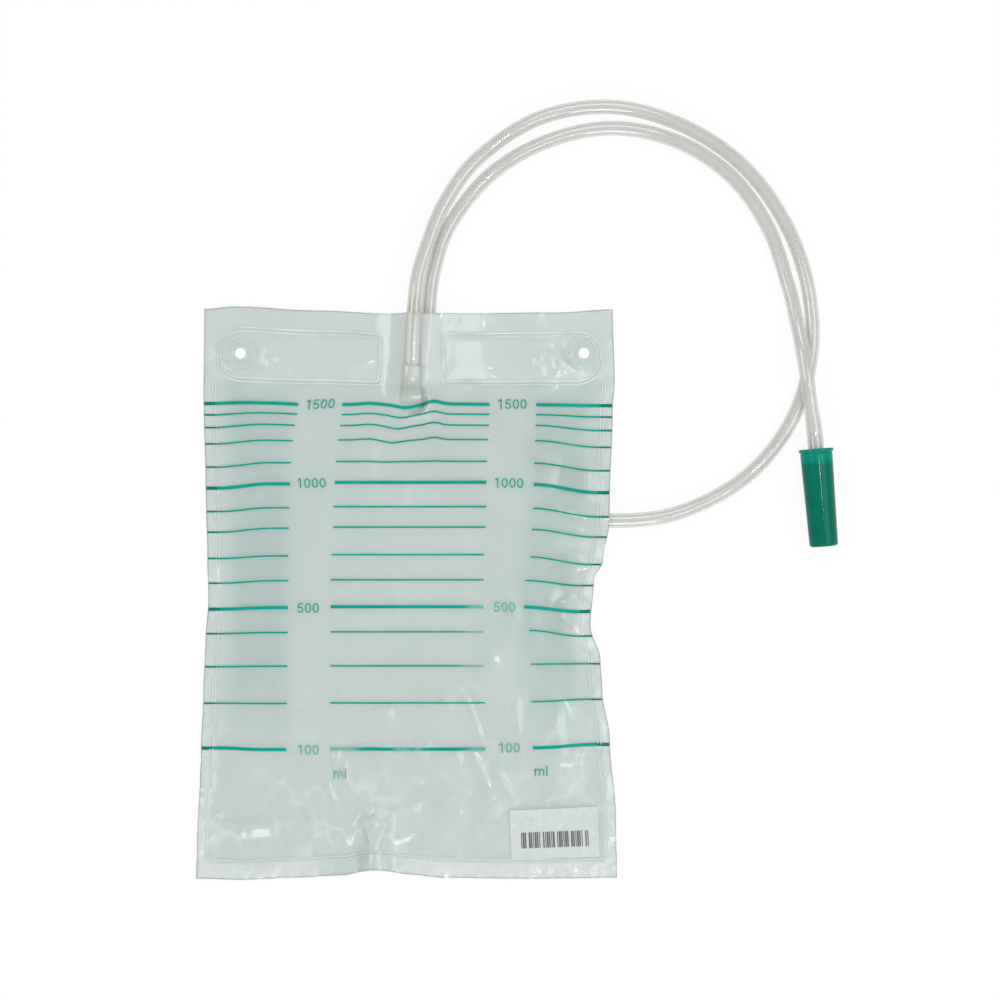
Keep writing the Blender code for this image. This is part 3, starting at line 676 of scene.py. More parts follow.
# Creases that both walls share: height and half width of the crest, then its points, all
# in millimetres.
CREASES = (
    (0.45, 3.0, (-84.3, 90.6), (-77.3, 95.2), (-67.1, 102.7), (-58.8, 105.4)),
    (0.40, 2.6, (-67.1, 110.1), (-60.6, 106.4), (-54.1, 102.7)),
    (0.40, 2.6, (-28.6, 100.8), (-22.5, 105.4), (-14.2, 110.1)),
    (0.35, 2.2, (-49.5, 95.2), (-42.5, 96.6), (-35.1, 94.3)),
    (0.30, 1.4, (-90.3, 115.2), (-86.6, 112.9), (-82.9, 111.9)),
    (0.30, 1.4, (-90.3, 102.7), (-86.6, 105.4), (-82.9, 106.4)),
    (0.60, 2.2, (61.1, 111.9), (67.6, 112.9), (71.3, 108.2), (76.9, 102.7), (81.5, 100.3)),
    (0.45, 1.8, (61.1, 111.9), (61.1, 106.4), (63.4, 100.3)),
    (0.50, 1.8, (74.1, 112.9), (71.3, 107.3), (69.4, 100.8)),
    (0.25, 0.9, (21.1, 127.7), (20.2, 123.1)),
    (0.25, 0.9, (23.9, 128.2), (23.0, 123.1)),
    (0.25, 1.6, (25.3, 97.1), (31.8, 95.7)),
    (0.35, 2.4, (55.0, 93.8), (64.3, 96.2), (69.4, 98.0)),
    (0.35, 2.2, (82.9, 96.6), (89.0, 93.4), (91.7, 91.5)),
    (0.30, 2.0, (16.5, 125.9), (17.4, 119.8), (17.9, 111.9), (16.0, 102.7)),
    (0.70, 2.4, (-97.3, -101.7), (-90.8, -101.7), (-85.7, -106.4), (-81.1, -108.2),
     (-73.2, -107.3), (-67.1, -106.4), (-58.8, -106.4), (-53.2, -108.2)),
    (0.55, 2.4, (-95.9, -111.5), (-90.3, -112.4), (-83.8, -112.9), (-77.3, -111.5),
     (-69.9, -109.6), (-62.5, -109.2), (-55.0, -110.6), (-49.0, -112.9)),
    (0.40, 1.6, (-36.0, -111.9), (-30.4, -113.8), (-25.8, -115.7)),
    (0.60, 2.0, (-28.6, -115.7), (-24.9, -110.1), (-20.7, -106.4), (-16.0, -105.4),
     (-11.4, -108.2), (-7.7, -114.7)),
    (0.45, 1.8, (-7.7, -115.7), (-3.0, -113.8), (3.5, -111.9)),
    (0.35, 1.4, (-30.9, -70.6), (-32.7, -75.7), (-33.7, -82.2)),
    (0.40, 1.6, (-29.5, -76.2), (-29.0, -84.5), (-25.3, -94.3)),
    (0.35, 1.8, (-37.9, -84.5), (-35.5, -93.8), (-31.8, -101.7)),
    (0.25, 1.6, (-20.7, -85.0), (-14.2, -85.9), (-8.6, -87.8)),
    (0.30, 2.2, (-65.7, -70.1), (-58.8, -66.0), (-51.3, -62.2)),
    (0.30, 2.4, (-67.1, -92.4), (-56.4, -96.2), (-49.5, -101.7)),
    (0.30, 2.0, (-49.5, -96.2), (-44.8, -103.1), (-43.9, -108.2)),
    (0.35, 2.0, (-16.0, -52.0), (-9.5, -55.3), (-6.7, -59.9)),
    (0.35, 1.8, (-12.3, -66.0), (-13.2, -70.6), (-7.7, -73.9), (-0.2, -75.7)),
    (0.35, 1.6, (14.2, -45.1), (17.4, -49.7), (21.1, -53.4)),
    (0.30, 1.8, (23.9, -38.1), (28.1, -42.3), (33.2, -46.0)),
    (0.45, 1.6, (48.1, -46.9), (48.5, -52.5), (46.7, -59.9)),
    (0.45, 1.6, (51.8, -49.7), (51.3, -58.1), (52.3, -66.0)),
    (0.50, 2.4, (40.2, -79.9), (44.8, -89.2), (51.3, -98.9)),
    (0.45, 2.8, (29.5, -72.9), (35.1, -84.5), (40.2, -96.2)),
    (0.35, 2.4, (6.3, -91.5), (15.6, -96.2), (25.8, -101.7)),
    (0.35, 2.2, (-5.3, -103.1), (2.6, -98.9), (10.0, -97.1)),
    (0.35, 1.4, (20.2, -72.0), (23.9, -75.7), (25.3, -79.4)),
    (0.30, 1.4, (10.9, -68.3), (8.1, -72.0), (9.1, -75.7)),
    (0.30, 1.8, (-3.0, -82.2), (2.6, -85.0), (8.1, -88.7)),
    (0.50, 1.6, (89.9, -59.0), (91.7, -72.9), (93.6, -86.9), (92.7, -96.2)),
    (0.40, 1.2, (95.5, -66.0), (95.0, -77.6), (96.4, -91.5)),
    (0.45, 1.6, (-92.2, -70.6), (-92.7, -82.2), (-93.6, -96.2), (-92.7, -110.1)),
    (0.35, 1.2, (-90.3, -68.3), (-89.9, -79.9), (-90.8, -96.2)),
    (0.30, 2.8, (71.3, -49.7), (69.4, -63.6), (72.2, -77.6)),
    (0.22, 3.4, (-25.3, 71.1), (-24.9, 52.5), (-23.5, 33.9)),
    (0.22, 3.4, (-17.0, 75.7), (-16.5, 57.1), (-17.9, 38.6)),
    (0.22, 3.4, (-2.1, 71.1), (-1.2, 52.5), (-3.0, 33.9)),
    (0.22, 3.4, (6.3, 75.7), (6.7, 57.1), (5.3, 40.9)),
    (0.30, 2.0, (88.5, 71.1), (88.0, 52.5), (87.1, 33.9)),
    (0.30, 2.0, (91.7, 71.1), (91.3, 52.5), (89.9, 29.3)),
    (0.25, 3.6, (38.8, 15.3), (45.8, 3.7), (49.0, -10.2), (45.8, -26.5)),
    (0.30, 2.6, (29.5, -21.8), (37.9, -28.8), (43.4, -36.7)),
    (0.50, 2.0, (71.3, -11.6), (78.3, -14.4), (85.2, -15.3)),
    (0.40, 1.8, (69.4, -5.1), (75.9, -3.3), (84.3, -4.2)),
    (0.30, 2.4, (-90.3, 15.3), (-89.4, 1.4), (-90.8, -12.5)),
    (0.20, 3.0, (-5.3, 15.3), (-6.7, 1.4), (-3.9, -14.9)),
    (0.50, 1.2, (-15.8, -119.5), (-18.3, -110.0), (-21.5, -101.0)),
    (0.50, 1.2, (-14.9, -119.5), (-10.5, -109.5), (-5.0, -100.5)),
    (0.35, 1.2, (-15.4, -118.5), (-14.8, -106.0), (-13.5, -96.0)),
    (0.30, 0.9, (-1.6, -66.9), (2.3, -72.0), (6.3, -77.6)),
    (0.30, 0.9, (21.6, -41.8), (28.1, -49.7), (32.0, -60.0), (35.5, -71.5)),
    (0.30, 0.9, (48.1, -60.4), (50.0, -54.4), (51.8, -48.3)),
)
CREASE_GAIN = 2.1
CREASE_END_EASE = 0.6
EDGE_RIPPLE_HEIGHT = 0.0009
EDGE_RIPPLE_REACH = 0.014
EDGE_RIPPLE_CELL = 0.012
SWELL_HEIGHT = 0.0013
SWELL_CELL = (0.026, 0.034)
CRUMPLE_CELL = 0.0200
CRUMPLE_HEIGHT = 0.0011
RIM_CRUMPLE_CELL = 0.0065
RIM_CRUMPLE_HEIGHT = 0.0010
RIM_CRUMPLE_REACH = 0.013
# The relief is full in the lower third and calm above it, but for a crushed patch by one hole
LOWER_THIRD_TOP = -0.035
LOWER_THIRD_FADE = 0.05
LOWER_THIRD_CRUSH = 0.45
CALM_SHARE = 0.2
HOLE_PATCH = (0.072, 0.106)
HOLE_PATCH_REACH = (0.014, 0.009)
HOLE_RIM_SHARE = 0.6
CLEAR_OF_SPINE = 0.0075
SPINE_FADE = 0.006
# One seed for the drift of the crumple, so that every run makes the same film
CRUMPLE_SEED = 7
noise.seed_set(CRUMPLE_SEED)


def along_table(table, place):
    """Values of a given table at an array of places, eased between its points."""
    keys = np.array([row[0] for row in table])
    values = np.array([row[1] for row in table])
    place = np.clip(place, keys[0], keys[-1])
    low = np.clip(np.searchsorted(keys, place, side="right") - 1, 0, len(keys) - 2)
    part = eased((place - keys[low]) / (keys[low + 1] - keys[low]))
    return values[low] + (values[low + 1] - values[low]) * part


def nearest_on(path, x, y):
    """Flat distance to a path, with the segment number and the share along it."""
    best = np.full(x.shape, 1.0)
    segment = np.zeros(x.shape, dtype=int)
    part = np.zeros(x.shape)
    for number in range(len(path) - 1):
        a, b = path[number], path[number + 1]
        run_x, run_y = b[0] - a[0], b[1] - a[1]
        t = ((x - a[0]) * run_x + (y - a[1]) * run_y) / (run_x * run_x + run_y * run_y)
        t = np.clip(t, 0.0, 1.0)
        distance = np.hypot(x - a[0] - run_x * t, y - a[1] - run_y * t)
        closer = distance < best
        best = np.where(closer, distance, best)
        segment = np.where(closer, number, segment)
        part = np.where(closer, t, part)
    return best, segment, part


def fold_over(distance, height, half_width):
    """Cross-section of a soft fold: a raised cosine."""
    inside = np.abs(distance) < half_width
    return np.where(inside, height * np.cos(np.pi * distance / (2 * half_width)) ** 2, 0.0)


under_path = [tuple(place) for index, place in tube_path
              if UNDER_BAG_SPAN[0] <= index <= UNDER_BAG_SPAN[1]]
spine = [(ring[0], ring[1], ring[2]) for ring in reversed(valve_rings)]
for index, place in tube_path:
    if index <= IN_BAG_POINTS and (place - tube_path[0][1]).length > VALVE_GRIP:
        spine.append((place, TUBE_DIAMETER / 2, TUBE_DIAMETER / 2))
spine_line = [tuple(ring[0]) for ring in spine]
spine_sizes = np.array([(ring[0].z, ring[1], ring[2]) for ring in spine])


def spine_at(x, y):
    """Distance to the tube and valve in the bag, with their height and half sizes there."""
    distance, segment, part = nearest_on(spine_line, x, y)
    low, high = spine_sizes[segment], spine_sizes[segment + 1]
    sizes = low + (high - low) * part[..., None]
    return distance, sizes[..., 0], sizes[..., 1], sizes[..., 2]


def hug(distance, half_width, half_height, spread=2.0):
    """How far a film wrapped round the spine stands from its centre line."""
    wide = half_width + SPINE_ROOM
    high = half_height + SPINE_ROOM
    return high - distance * distance * high / (spread * wide * wide)


def noise_field(x, y, size_x, size_y, seed, octaves=2):
    """Soft noise, about -1 to 1, with its own size along X and along Y."""
    values = [noise.fractal(Vector((px / size_x, py / size_y, seed)), 0.9, 2.0, octaves)
              for px, py in zip(x, y)]
    return np.array(values)


def crumple_field(x, y, cell, seed):
    """Flat facets that meet in low crests, 0 to about 1, like film that was once crushed."""
    values = []
    for px, py in zip(x, y):
        at = Vector((px / cell, py / cell, seed))
        apart = noise.voronoi(at + noise.noise_vector(at * 0.7) * 0.45)[0]
        values.append(1.0 - min(apart[1] - apart[0], 1.0))
    return np.array(values)


def crease_field(x, y):
    """The listed creases, each highest in its middle and gone at its ends."""
    total = np.zeros(x.shape)
    for crease in CREASES:
        path = [(px * MM, py * MM) for px, py in crease[2:]]
        distance, segment, part = nearest_on(path, x, y)
        share = (segment + part) / (len(path) - 1)
        height = CREASE_GAIN * crease[0] * MM * np.sin(np.pi * share) ** CREASE_END_EASE
        total += height * np.exp(-(distance / (crease[1] * MM)) ** 2)
    return total


def side_inside(x, y):
    """Distance from a point of the laid bag to its nearest side edge."""
    drawn_in = np.where(x > 0, along_table(RIGHT_EDGE, y), along_table(LEFT_EDGE, y))
    return BAG_WIDTH / 2 - np.abs(x) - drawn_in


def shared_relief(x, y):
    """Creases, soft swells, crumple and edge ripple, which both walls follow."""
    inside = np.minimum(side_inside(x, y), BAG_HEIGHT / 2 - np.abs(y))
    ripple = 0.5 + 0.5 * noise_field(x, y, EDGE_RIPPLE_CELL, EDGE_RIPPLE_CELL, 3.1)
    ripple = EDGE_RIPPLE_HEIGHT * ripple * eased(1.0 - inside / EDGE_RIPPLE_REACH)
    low = eased((LOWER_THIRD_TOP - y) / LOWER_THIRD_FADE)
    lively = CALM_SHARE + (1.0 - CALM_SHARE) * low
    swell = SWELL_HEIGHT * lively * (0.5 + 0.5 * noise_field(x, y, *SWELL_CELL, 6.2))
    away_x = (x - HOLE_PATCH[0]) / HOLE_PATCH_REACH[0]
    away_y = (y - HOLE_PATCH[1]) / HOLE_PATCH_REACH[1]
    by_hole = np.exp(-away_x ** 2 - away_y ** 2)
    crushed = np.maximum(LOWER_THIRD_CRUSH * low, by_hole)
    crumple = CRUMPLE_HEIGHT * crushed * crumple_field(x, y, CRUMPLE_CELL, 1.7) ** 2
    on_rim = np.maximum(eased(1.0 - inside / RIM_CRUMPLE_REACH) * lively, HOLE_RIM_SHARE * by_hole)
    rim = RIM_CRUMPLE_HEIGHT * on_rim * crumple_field(x, y, RIM_CRUMPLE_CELL, 5.3) ** 2
    clear = eased((spine_at(x, y)[0] - CLEAR_OF_SPINE) / SPINE_FADE)
    return (crease_field(x, y) + ripple + swell + crumple + rim) * clear


def back_height(x, y):
    """Underside of the back film, before the shared relief."""
    distance = nearest_on(under_path, x, y)[0]
    height = fold_over(distance, TUBE_DIAMETER + CLEARANCE, TENT_HALF_WIDTH)
    distance, centre, half_width, half_height = spine_at(x, y)
    in_header = eased((y - BAG_HEIGHT / 2 + HEADER_DEPTH) / SHOULDER_FADE + 0.5)
    shoulder = centre * SHOULDER_SHARE * in_header
    height = np.maximum(height, fold_over(distance, shoulder, SHOULDER_HALF_WIDTH))
    below = centre - hug(distance, half_width, half_height) - FILM_WALL
    below = below + HUG_STEEPNESS * np.maximum(distance - half_width - SPINE_ROOM, 0.0)
    height = np.maximum(np.minimum(height, below), 0.0)
    rise = eased(1.0 - (y + BAG_HEIGHT / 2) / BOTTOM_FOLD_LENGTH)
    height = height + fold_over(x - BOTTOM_FOLD_X, BOTTOM_FOLD_HEIGHT * rise,
                                BOTTOM_FOLD_HALF_WIDTH)
    away_x = (x - EDGE_BUCKLE_PLACE[0]) / EDGE_BUCKLE_SPREAD[0]
    away_y = (y - EDGE_BUCKLE_PLACE[1]) / EDGE_BUCKLE_SPREAD[1]
    return height + fold_over(np.hypot(away_x, away_y), EDGE_BUCKLE_HEIGHT, 2.0)


def laid_place(x, y):
    """Where points of the flat bag lie once its edges are drawn in."""
    left = along_table(LEFT_EDGE, y) * eased(-x / EDGE_REACH)
    right = along_table(RIGHT_EDGE, y) * eased(x / EDGE_REACH)
    half = BAG_HEIGHT / 2
    top = along_table(TOP_EDGE, x) * eased(1.0 - (half - y) / EDGE_REACH)
    bottom = along_table(BOTTOM_EDGE, x) * eased(1.0 - (half + y) / EDGE_REACH)
    return x + left - right, y - top + bottom


def film_sheet(name):
    """A flat cut sheet, with the places that its points will have in the laid bag."""
    bpy.ops.mesh.primitive_grid_add(x_subdivisions=FILM_COLUMNS, y_subdivisions=FILM_ROWS,
                                    size=1.0)
    sheet = bpy.context.object
    sheet.name = name
    flat = np.empty(len(sheet.data.vertices) * 3)
    sheet.data.vertices.foreach_get("co", flat)
    flat = flat.reshape(-1, 3)
    x, y = laid_place(flat[:, 0] * BAG_WIDTH, flat[:, 1] * BAG_HEIGHT)
    return sheet, x, y


def finish_sheet(sheet, x, y, height):
    """Lift a sheet's points to their height, give it its wall and punch its two holes."""
    sheet.data.vertices.foreach_set("co", np.column_stack((x, y, height)).ravel())
    sheet.data.update()
    make_active(sheet)
    give_wall(sheet, "wall", FILM_WALL, 1.0)
    for hole_x, hole_y in HOLES:
        bpy.ops.mesh.primitive_cylinder_add(vertices=48, radius=HOLE_DIAMETER / 2, depth=0.03,
                                            location=(hole_x, hole_y, 0.0))
        punch = bpy.context.object
        make_active(sheet)
        cut = sheet.modifiers.new("hole", "BOOLEAN")
        cut.operation = "DIFFERENCE"
        cut.object = punch
        bpy.ops.object.modifier_apply(modifier="hole")
        bpy.data.objects.remove(punch, do_unlink=True)
    make_active(sheet)
    bpy.ops.object.shade_smooth_by_angle(angle=math.radians(50))
def distance_node(nodes, links, value, centre):
    """How far a value is from a centre."""
    return math_node(nodes, links, "ABSOLUTE", math_node(nodes, links, "SUBTRACT", value, centre))


CLING_OUTER = (0.008, 0.016)
CLING_INNER = (0.046, 0.030)
CLING_FOOT = (0.045, 0.110)
SEAM_FADE = 0.0015
SEAM_PALE_FOOT = (0.110, 0.0)
SEAM_TOP_SHARE = 0.45
FOLD_FROM_LEFT = BAG_WIDTH / 2 + BOTTOM_FOLD_X - 0.008
FOLD_SHADE_REACH = (0.006, 0.028)
TUBE_FROM_LEFT = BAG_WIDTH / 2 + 0.0032
TUBE_PAINTED_LIGHT_REACH = (0.017, 0.006)
HEADER_WELD_AND_LIGHT_SHARES = (0.45, 0.80)
HEADER_FADE = 0.010
CRUSHED_SPAN = (0.125, 0.030)
CRUSHED_RIM = 0.011


def film_zones_group():
    """Masks of a cut sheet from its UV map: raw edge, welds with painted light and shade, clinging
    sides, crushed film.
    """
    group = bpy.data.node_groups.new("film_zones", "ShaderNodeTree")
    for name in ("Edge Width", "Side Weld", "Bottom Weld", "Header Weld"):
        group.interface.new_socket(name, in_out="INPUT", socket_type="NodeSocketFloat")
    for name in ("Edge", "Weld", "Clinging", "Crushed"):
        group.interface.new_socket(name, in_out="OUTPUT", socket_type="NodeSocketFloat")
    nodes, links = group.nodes, group.links
    given = nodes.new("NodeGroupInput")
    result = nodes.new("NodeGroupOutput")
    where = nodes.new("ShaderNodeTexCoord")
    split = nodes.new("ShaderNodeSeparateXYZ")
    links.new(where.outputs["UV"], split.inputs[0])
    from_left = math_node(nodes, links, "MULTIPLY", split.outputs["X"], BAG_WIDTH)
    from_bottom = math_node(nodes, links, "MULTIPLY", split.outputs["Y"], BAG_HEIGHT)
    from_right = math_node(nodes, links, "SUBTRACT", BAG_WIDTH, from_left)
    from_top = math_node(nodes, links, "SUBTRACT", BAG_HEIGHT, from_bottom)
    side = math_node(nodes, links, "MINIMUM", from_left, from_right)
    nearest_edge = math_node(nodes, links, "MINIMUM", from_bottom, from_top)
    nearest_edge = math_node(nodes, links, "MINIMUM", nearest_edge, side)
    inside = math_node(nodes, links, "DIVIDE", nearest_edge, given.outputs["Edge Width"])
    edge = nodes.new("ShaderNodeMath")
    edge.operation = "SUBTRACT"
    edge.use_clamp = True
    edge.inputs[0].default_value = 1.0
    links.new(inside, edge.inputs[1])
    links.new(edge.outputs[0], result.inputs["Edge"])
    past_side = math_node(nodes, links, "SUBTRACT", side, given.outputs["Side Weld"])
    past_bottom = math_node(nodes, links, "SUBTRACT", from_bottom, given.outputs["Bottom Weld"])
    past_header = math_node(nodes, links, "SUBTRACT", from_top, given.outputs["Header Weld"])
    past_seams = math_node(nodes, links, "MINIMUM", past_side, past_bottom)
    in_seams = rise_node(nodes, links, past_seams, SEAM_FADE, -SEAM_FADE)
    # Painted light and shade on the seams: paler towards the foot of the bag, darker near the
    # bottom fold
    pale_foot = rise_node(nodes, links, from_bottom, *SEAM_PALE_FOOT)
    seam_share = scaled(nodes, links, pale_foot, SEAM_TOP_SHARE, 1.0)
    from_fold = distance_node(nodes, links, from_left, FOLD_FROM_LEFT)
    off_fold = rise_node(nodes, links, from_fold, *FOLD_SHADE_REACH)
    seam_share = math_node(nodes, links, "MULTIPLY", seam_share, off_fold)
    seams = math_node(nodes, links, "MULTIPLY", in_seams, seam_share)
    in_header = rise_node(nodes, links, past_header, SEAM_FADE, -SEAM_FADE)
    # Painted light: the header's weld tint grows stronger near the tube, lightening the film beside
    # it
    from_tube = distance_node(nodes, links, from_left, TUBE_FROM_LEFT)
    by_tube = rise_node(nodes, links, from_tube, *TUBE_PAINTED_LIGHT_REACH)
    header_share = scaled(nodes, links, by_tube, *HEADER_WELD_AND_LIGHT_SHARES)
    header = math_node(nodes, links, "MULTIPLY", in_header, header_share)
    links.new(math_node(nodes, links, "MAXIMUM", seams, header), result.inputs["Weld"])
    cling = math_node(nodes, links, "MULTIPLY", rise_node(nodes, links, side, *CLING_OUTER),
                      rise_node(nodes, links, side, *CLING_INNER))
    cling = math_node(nodes, links, "MULTIPLY", cling,
                      rise_node(nodes, links, from_bottom, *CLING_FOOT))
    below_header = rise_node(nodes, links, past_header, -SEAM_FADE, HEADER_FADE)
    links.new(math_node(nodes, links, "MULTIPLY", cling, below_header),
              result.inputs["Clinging"])
    crushed = rise_node(nodes, links, from_bottom, *CRUSHED_SPAN)
    rim = rise_node(nodes, links, nearest_edge, CRUSHED_RIM, 0.0)
    links.new(math_node(nodes, links, "MAXIMUM", crushed, rim), result.inputs["Crushed"])
    return group


film_zones = film_zones_group()
SIDE_SEAM = 0.0056
BOTTOM_SEAM = 0.0088
RIPPLE_DEPTH = 0.0012
CLOUD_SCALE = 38.0
CLOUD_STRETCH = (1.0, 0.35, 1.0)
CLOUD_DRIFT = 0.6
RIPPLE_SCALE = 110.0
VEIN_SCALE = 42.0
BREAK_SCALE = 58.0
BREAK_SPAN = (0.42, 0.62)
STREAK_HIGHLIGHT_WIDTH = 0.040
STREAK_HIGHLIGHT_SHARE = 0.45
STREAK_HIGHLIGHT_TINT = (0.86, 0.90, 0.90)
CUT_EDGE_WIDTH = 0.0006
EDGE_SHADOW_SHARE = 0.85
EDGE_SHADOW_TINT = (0.26, 0.30, 0.29)
BACK_TINTS = ((0.665, 0.742, 0.720), (0.572, 0.676, 0.647), (0.790, 0.836, 0.836))
BACK_ALPHA = (0.84, 0.92)
BACK_ROUGHNESS = (0.24, 0.34)


def film_material(name, pale, deep, welded, alpha_range, rough_range):
    """Soft PVC sheet: paler welds with some painted light and shade, deeper where the walls cling,
    painted highlight streaks over crushed film, a painted shadow along the cut edge, and a fine
    ripple.
    """
    made, nodes, links, shader = fresh_material(name)
    zones = nodes.new("ShaderNodeGroup")
    zones.node_tree = film_zones
    zones.inputs["Edge Width"].default_value = CUT_EDGE_WIDTH
    zones.inputs["Side Weld"].default_value = SIDE_SEAM
    zones.inputs["Bottom Weld"].default_value = BOTTOM_SEAM
    zones.inputs["Header Weld"].default_value = HEADER_DEPTH
    edge, crushed = zones.outputs["Edge"], zones.outputs["Crushed"]
    cloud = object_noise(nodes, links, CLOUD_SCALE, 3.0, stretch=CLOUD_STRETCH)
    drift = scaled(nodes, links, cloud, -CLOUD_DRIFT, CLOUD_DRIFT)
    drift = math_node(nodes, links, "ADD", zones.outputs["Clinging"], drift)
    tint = two_tints(nodes, links, drift, pale, deep)
    tint = two_tints(nodes, links, zones.outputs["Weld"], tint, welded)
    # Painted highlight: pale streaks over crushed film, where creases catch the light
    vein = object_noise(nodes, links, VEIN_SCALE, 2.0)
    streak_highlight = rise_node(nodes, links, distance_node(nodes, links, vein, 0.5), STREAK_HIGHLIGHT_WIDTH, 0.0)
    broken = rise_node(nodes, links, object_noise(nodes, links, BREAK_SCALE, 1.0), *BREAK_SPAN)
    streak_highlight = math_node(nodes, links, "MULTIPLY", streak_highlight, broken)
    streak_highlight = math_node(nodes, links, "MULTIPLY", streak_highlight, crushed)
    streak_highlight = math_node(nodes, links, "MULTIPLY", streak_highlight, STREAK_HIGHLIGHT_SHARE)
    tint = two_tints(nodes, links, streak_highlight, tint, STREAK_HIGHLIGHT_TINT)
    # Painted shadow: a thin dark line along the cut edge of the sheet
    cut = math_node(nodes, links, "MULTIPLY", edge, EDGE_SHADOW_SHARE)
    links.new(two_tints(nodes, links, cut, tint, EDGE_SHADOW_TINT), shader.inputs["Base Color"])
    links.new(scaled(nodes, links, cloud, *rough_range), shader.inputs["Roughness"])
    cover = scaled(nodes, links, cloud, *alpha_range)
    links.new(math_node(nodes, links, "MAXIMUM", cover, edge), shader.inputs["Alpha"])
    ripple = object_noise(nodes, links, RIPPLE_SCALE, 4.0, 0.6)
    ripple = math_node(nodes, links, "MULTIPLY", ripple, crushed)
    bump = nodes.new("ShaderNodeBump")
    bump.inputs["Strength"].default_value = 1.0
    bump.inputs["Distance"].default_value = RIPPLE_DEPTH
    links.new(ripple, bump.inputs["Height"])
    links.new(bump.outputs["Normal"], shader.inputs["Normal"])
    return made, shader


back_film, film_x, film_y = film_sheet("back_wall")
back_under = back_height(film_x, film_y) + shared_relief(film_x, film_y)
finish_sheet(back_film, film_x, film_y, back_under)
dress(back_film, film_material("rear_film", *BACK_TINTS, BACK_ALPHA, BACK_ROUGHNESS)[0])
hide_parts("back_film")
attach(back_film, "bag")

# Front film.
# The printed front wall: the same soft sheet, welded along the sides, bottom and header. It is
# loose in the header's pockets and over the empty chamber, and drapes over tube and valve.

WELD_GAP = 0.00008
CHAMBER_PUFF = 0.0018
CHAMBER_RAMP = 0.020
POCKET_PUFF = 0.0009
POCKET_RAMP = 0.0065
POCKET_TOP = 0.1228
POCKET_BOTTOM = 0.0993
LEFT_POCKET = (-0.0906, -0.0126)
RIGHT_POCKET = (0.0178, 0.0910)
WELD_RING_RADIUS = 0.0080
SLACK_HEIGHT = 0.0004
DRAPE_SPREAD = 2.5
DRAPE_FOOT = 0.0020
CHAMBER_WAVE = 0.25
WAVE_LENGTHS = (0.011, 0.017)
WAVE_START = 1.0
SLACK_CELL = (0.016, 0.030)
SLACK_RAMP = 0.008
FRONT_TINTS = ((0.632, 0.712, 0.684), (0.543, 0.652, 0.618), (0.757, 0.808, 0.800))
FRONT_ALPHA = (0.21, 0.27)
FRONT_ROUGHNESS = (0.20, 0.30)


def pocket_puff(x, y):
    """Loose film inside the header's weld contours, flat again round each hole."""
    puff = np.zeros(x.shape)
    for start, end in (LEFT_POCKET, RIGHT_POCKET):
        inside = np.minimum(np.minimum(x - start, end - x),
                            np.minimum(y - POCKET_BOTTOM, POCKET_TOP - y))
        puff = np.maximum(puff, POCKET_PUFF * eased(inside / POCKET_RAMP))
    for hole_x, hole_y in HOLES:
        apart = np.hypot(x - hole_x, y - hole_y) - WELD_RING_RADIUS
        puff = puff * eased(apart / POCKET_RAMP)
    return puff


def chamber_inside(x, y):
    """Distance from a point of the chamber to its nearest seam."""
    inside_x = side_inside(x, y) - SIDE_SEAM
    inside_low = y + BAG_HEIGHT / 2 - BOTTOM_SEAM
    inside_high = BAG_HEIGHT / 2 - HEADER_DEPTH - y
    return np.minimum(inside_x, np.minimum(inside_low, inside_high))


def chamber_puff(x, y):
    """Slack of the empty bag between its seams, with slow waves."""
    inside = chamber_inside(x, y)
    waves = np.sin(x / WAVE_LENGTHS[0] + WAVE_START) * np.sin(y / WAVE_LENGTHS[1])
    puff = CHAMBER_PUFF * eased(inside / CHAMBER_RAMP) * (1.0 - CHAMBER_WAVE + CHAMBER_WAVE * waves)
    slack = SLACK_HEIGHT * noise_field(x, y, *SLACK_CELL, 8.4, 3)
    return puff + slack * eased(inside / SLACK_RAMP)


def front_height(x, y, under):
    """Underside of the front film, over the back film's underside."""
    height = np.maximum(pocket_puff(x, y), chamber_puff(x, y))
    height = under + FILM_WALL + WELD_GAP + np.maximum(height, 0.0)
    distance, centre, half_width, half_height = spine_at(x, y)
    wrapped = centre + hug(distance, half_width, half_height, DRAPE_SPREAD) - height
    foot = DRAPE_FOOT * half_height / (TUBE_DIAMETER / 2)
    return height + (wrapped + np.sqrt(wrapped * wrapped + foot * foot)) / 2


front_film = film_sheet("front_wall")[0]
finish_sheet(front_film, film_x, film_y, front_height(film_x, film_y, back_under))
front_finish, shader = film_material("front_film", *FRONT_TINTS, FRONT_ALPHA, FRONT_ROUGHNESS)
shader.inputs["Coat Weight"].default_value = 1.0
shader.inputs["Coat IOR"].default_value = 1.75
shader.inputs["Coat Roughness"].default_value = 0.15
dress(front_film, front_finish)
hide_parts("front_film")
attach(front_film, "bag")

# Weld lines.
# Where the heated tool pressed the two sheets together it left fine beads: a double contour
# round each header pocket, rings round the hanging holes and lines along the seams.

BEAD_RADIUS = 0.00028
BEAD_HEIGHT = 0.00005
CONTOUR_OFFSET = 0.0009
RING_RADII = (0.0037, 0.0049, 0.0061, 0.0079)
RING_STEPS = 48
HOLE_END_ROUND = 0.0100
TUBE_END_ROUND = 0.0020
CORNER_STEPS = 8
SEAM_LINE_STEP = 0.0014
SEAM_LINE_TOP = 0.0975
LONG_LINE_REACH = 0.0040
LOWER_LINE_LESS = 0.0010
FAINT_LINE = 0.14
WELD_SHEEN_TINTS = ((0.530, 0.610, 0.595), (0.80, 0.86, 0.86))
WELD_SHEEN_PATCHES = (-0.6, 1.6)
WELD_ROUGHNESS = (0.20, 0.35)


def arc(centre, half_width, half_height, first, last, steps):
    """Points along part of a circle or an oval, between two angles in degrees."""
    points = []
    for step in range(steps + 1):
        angle = math.radians(first + (last - first) * step / steps)
        points.append((centre[0] + half_width * math.cos(angle),
                       centre[1] + half_height * math.sin(angle)))
    return points


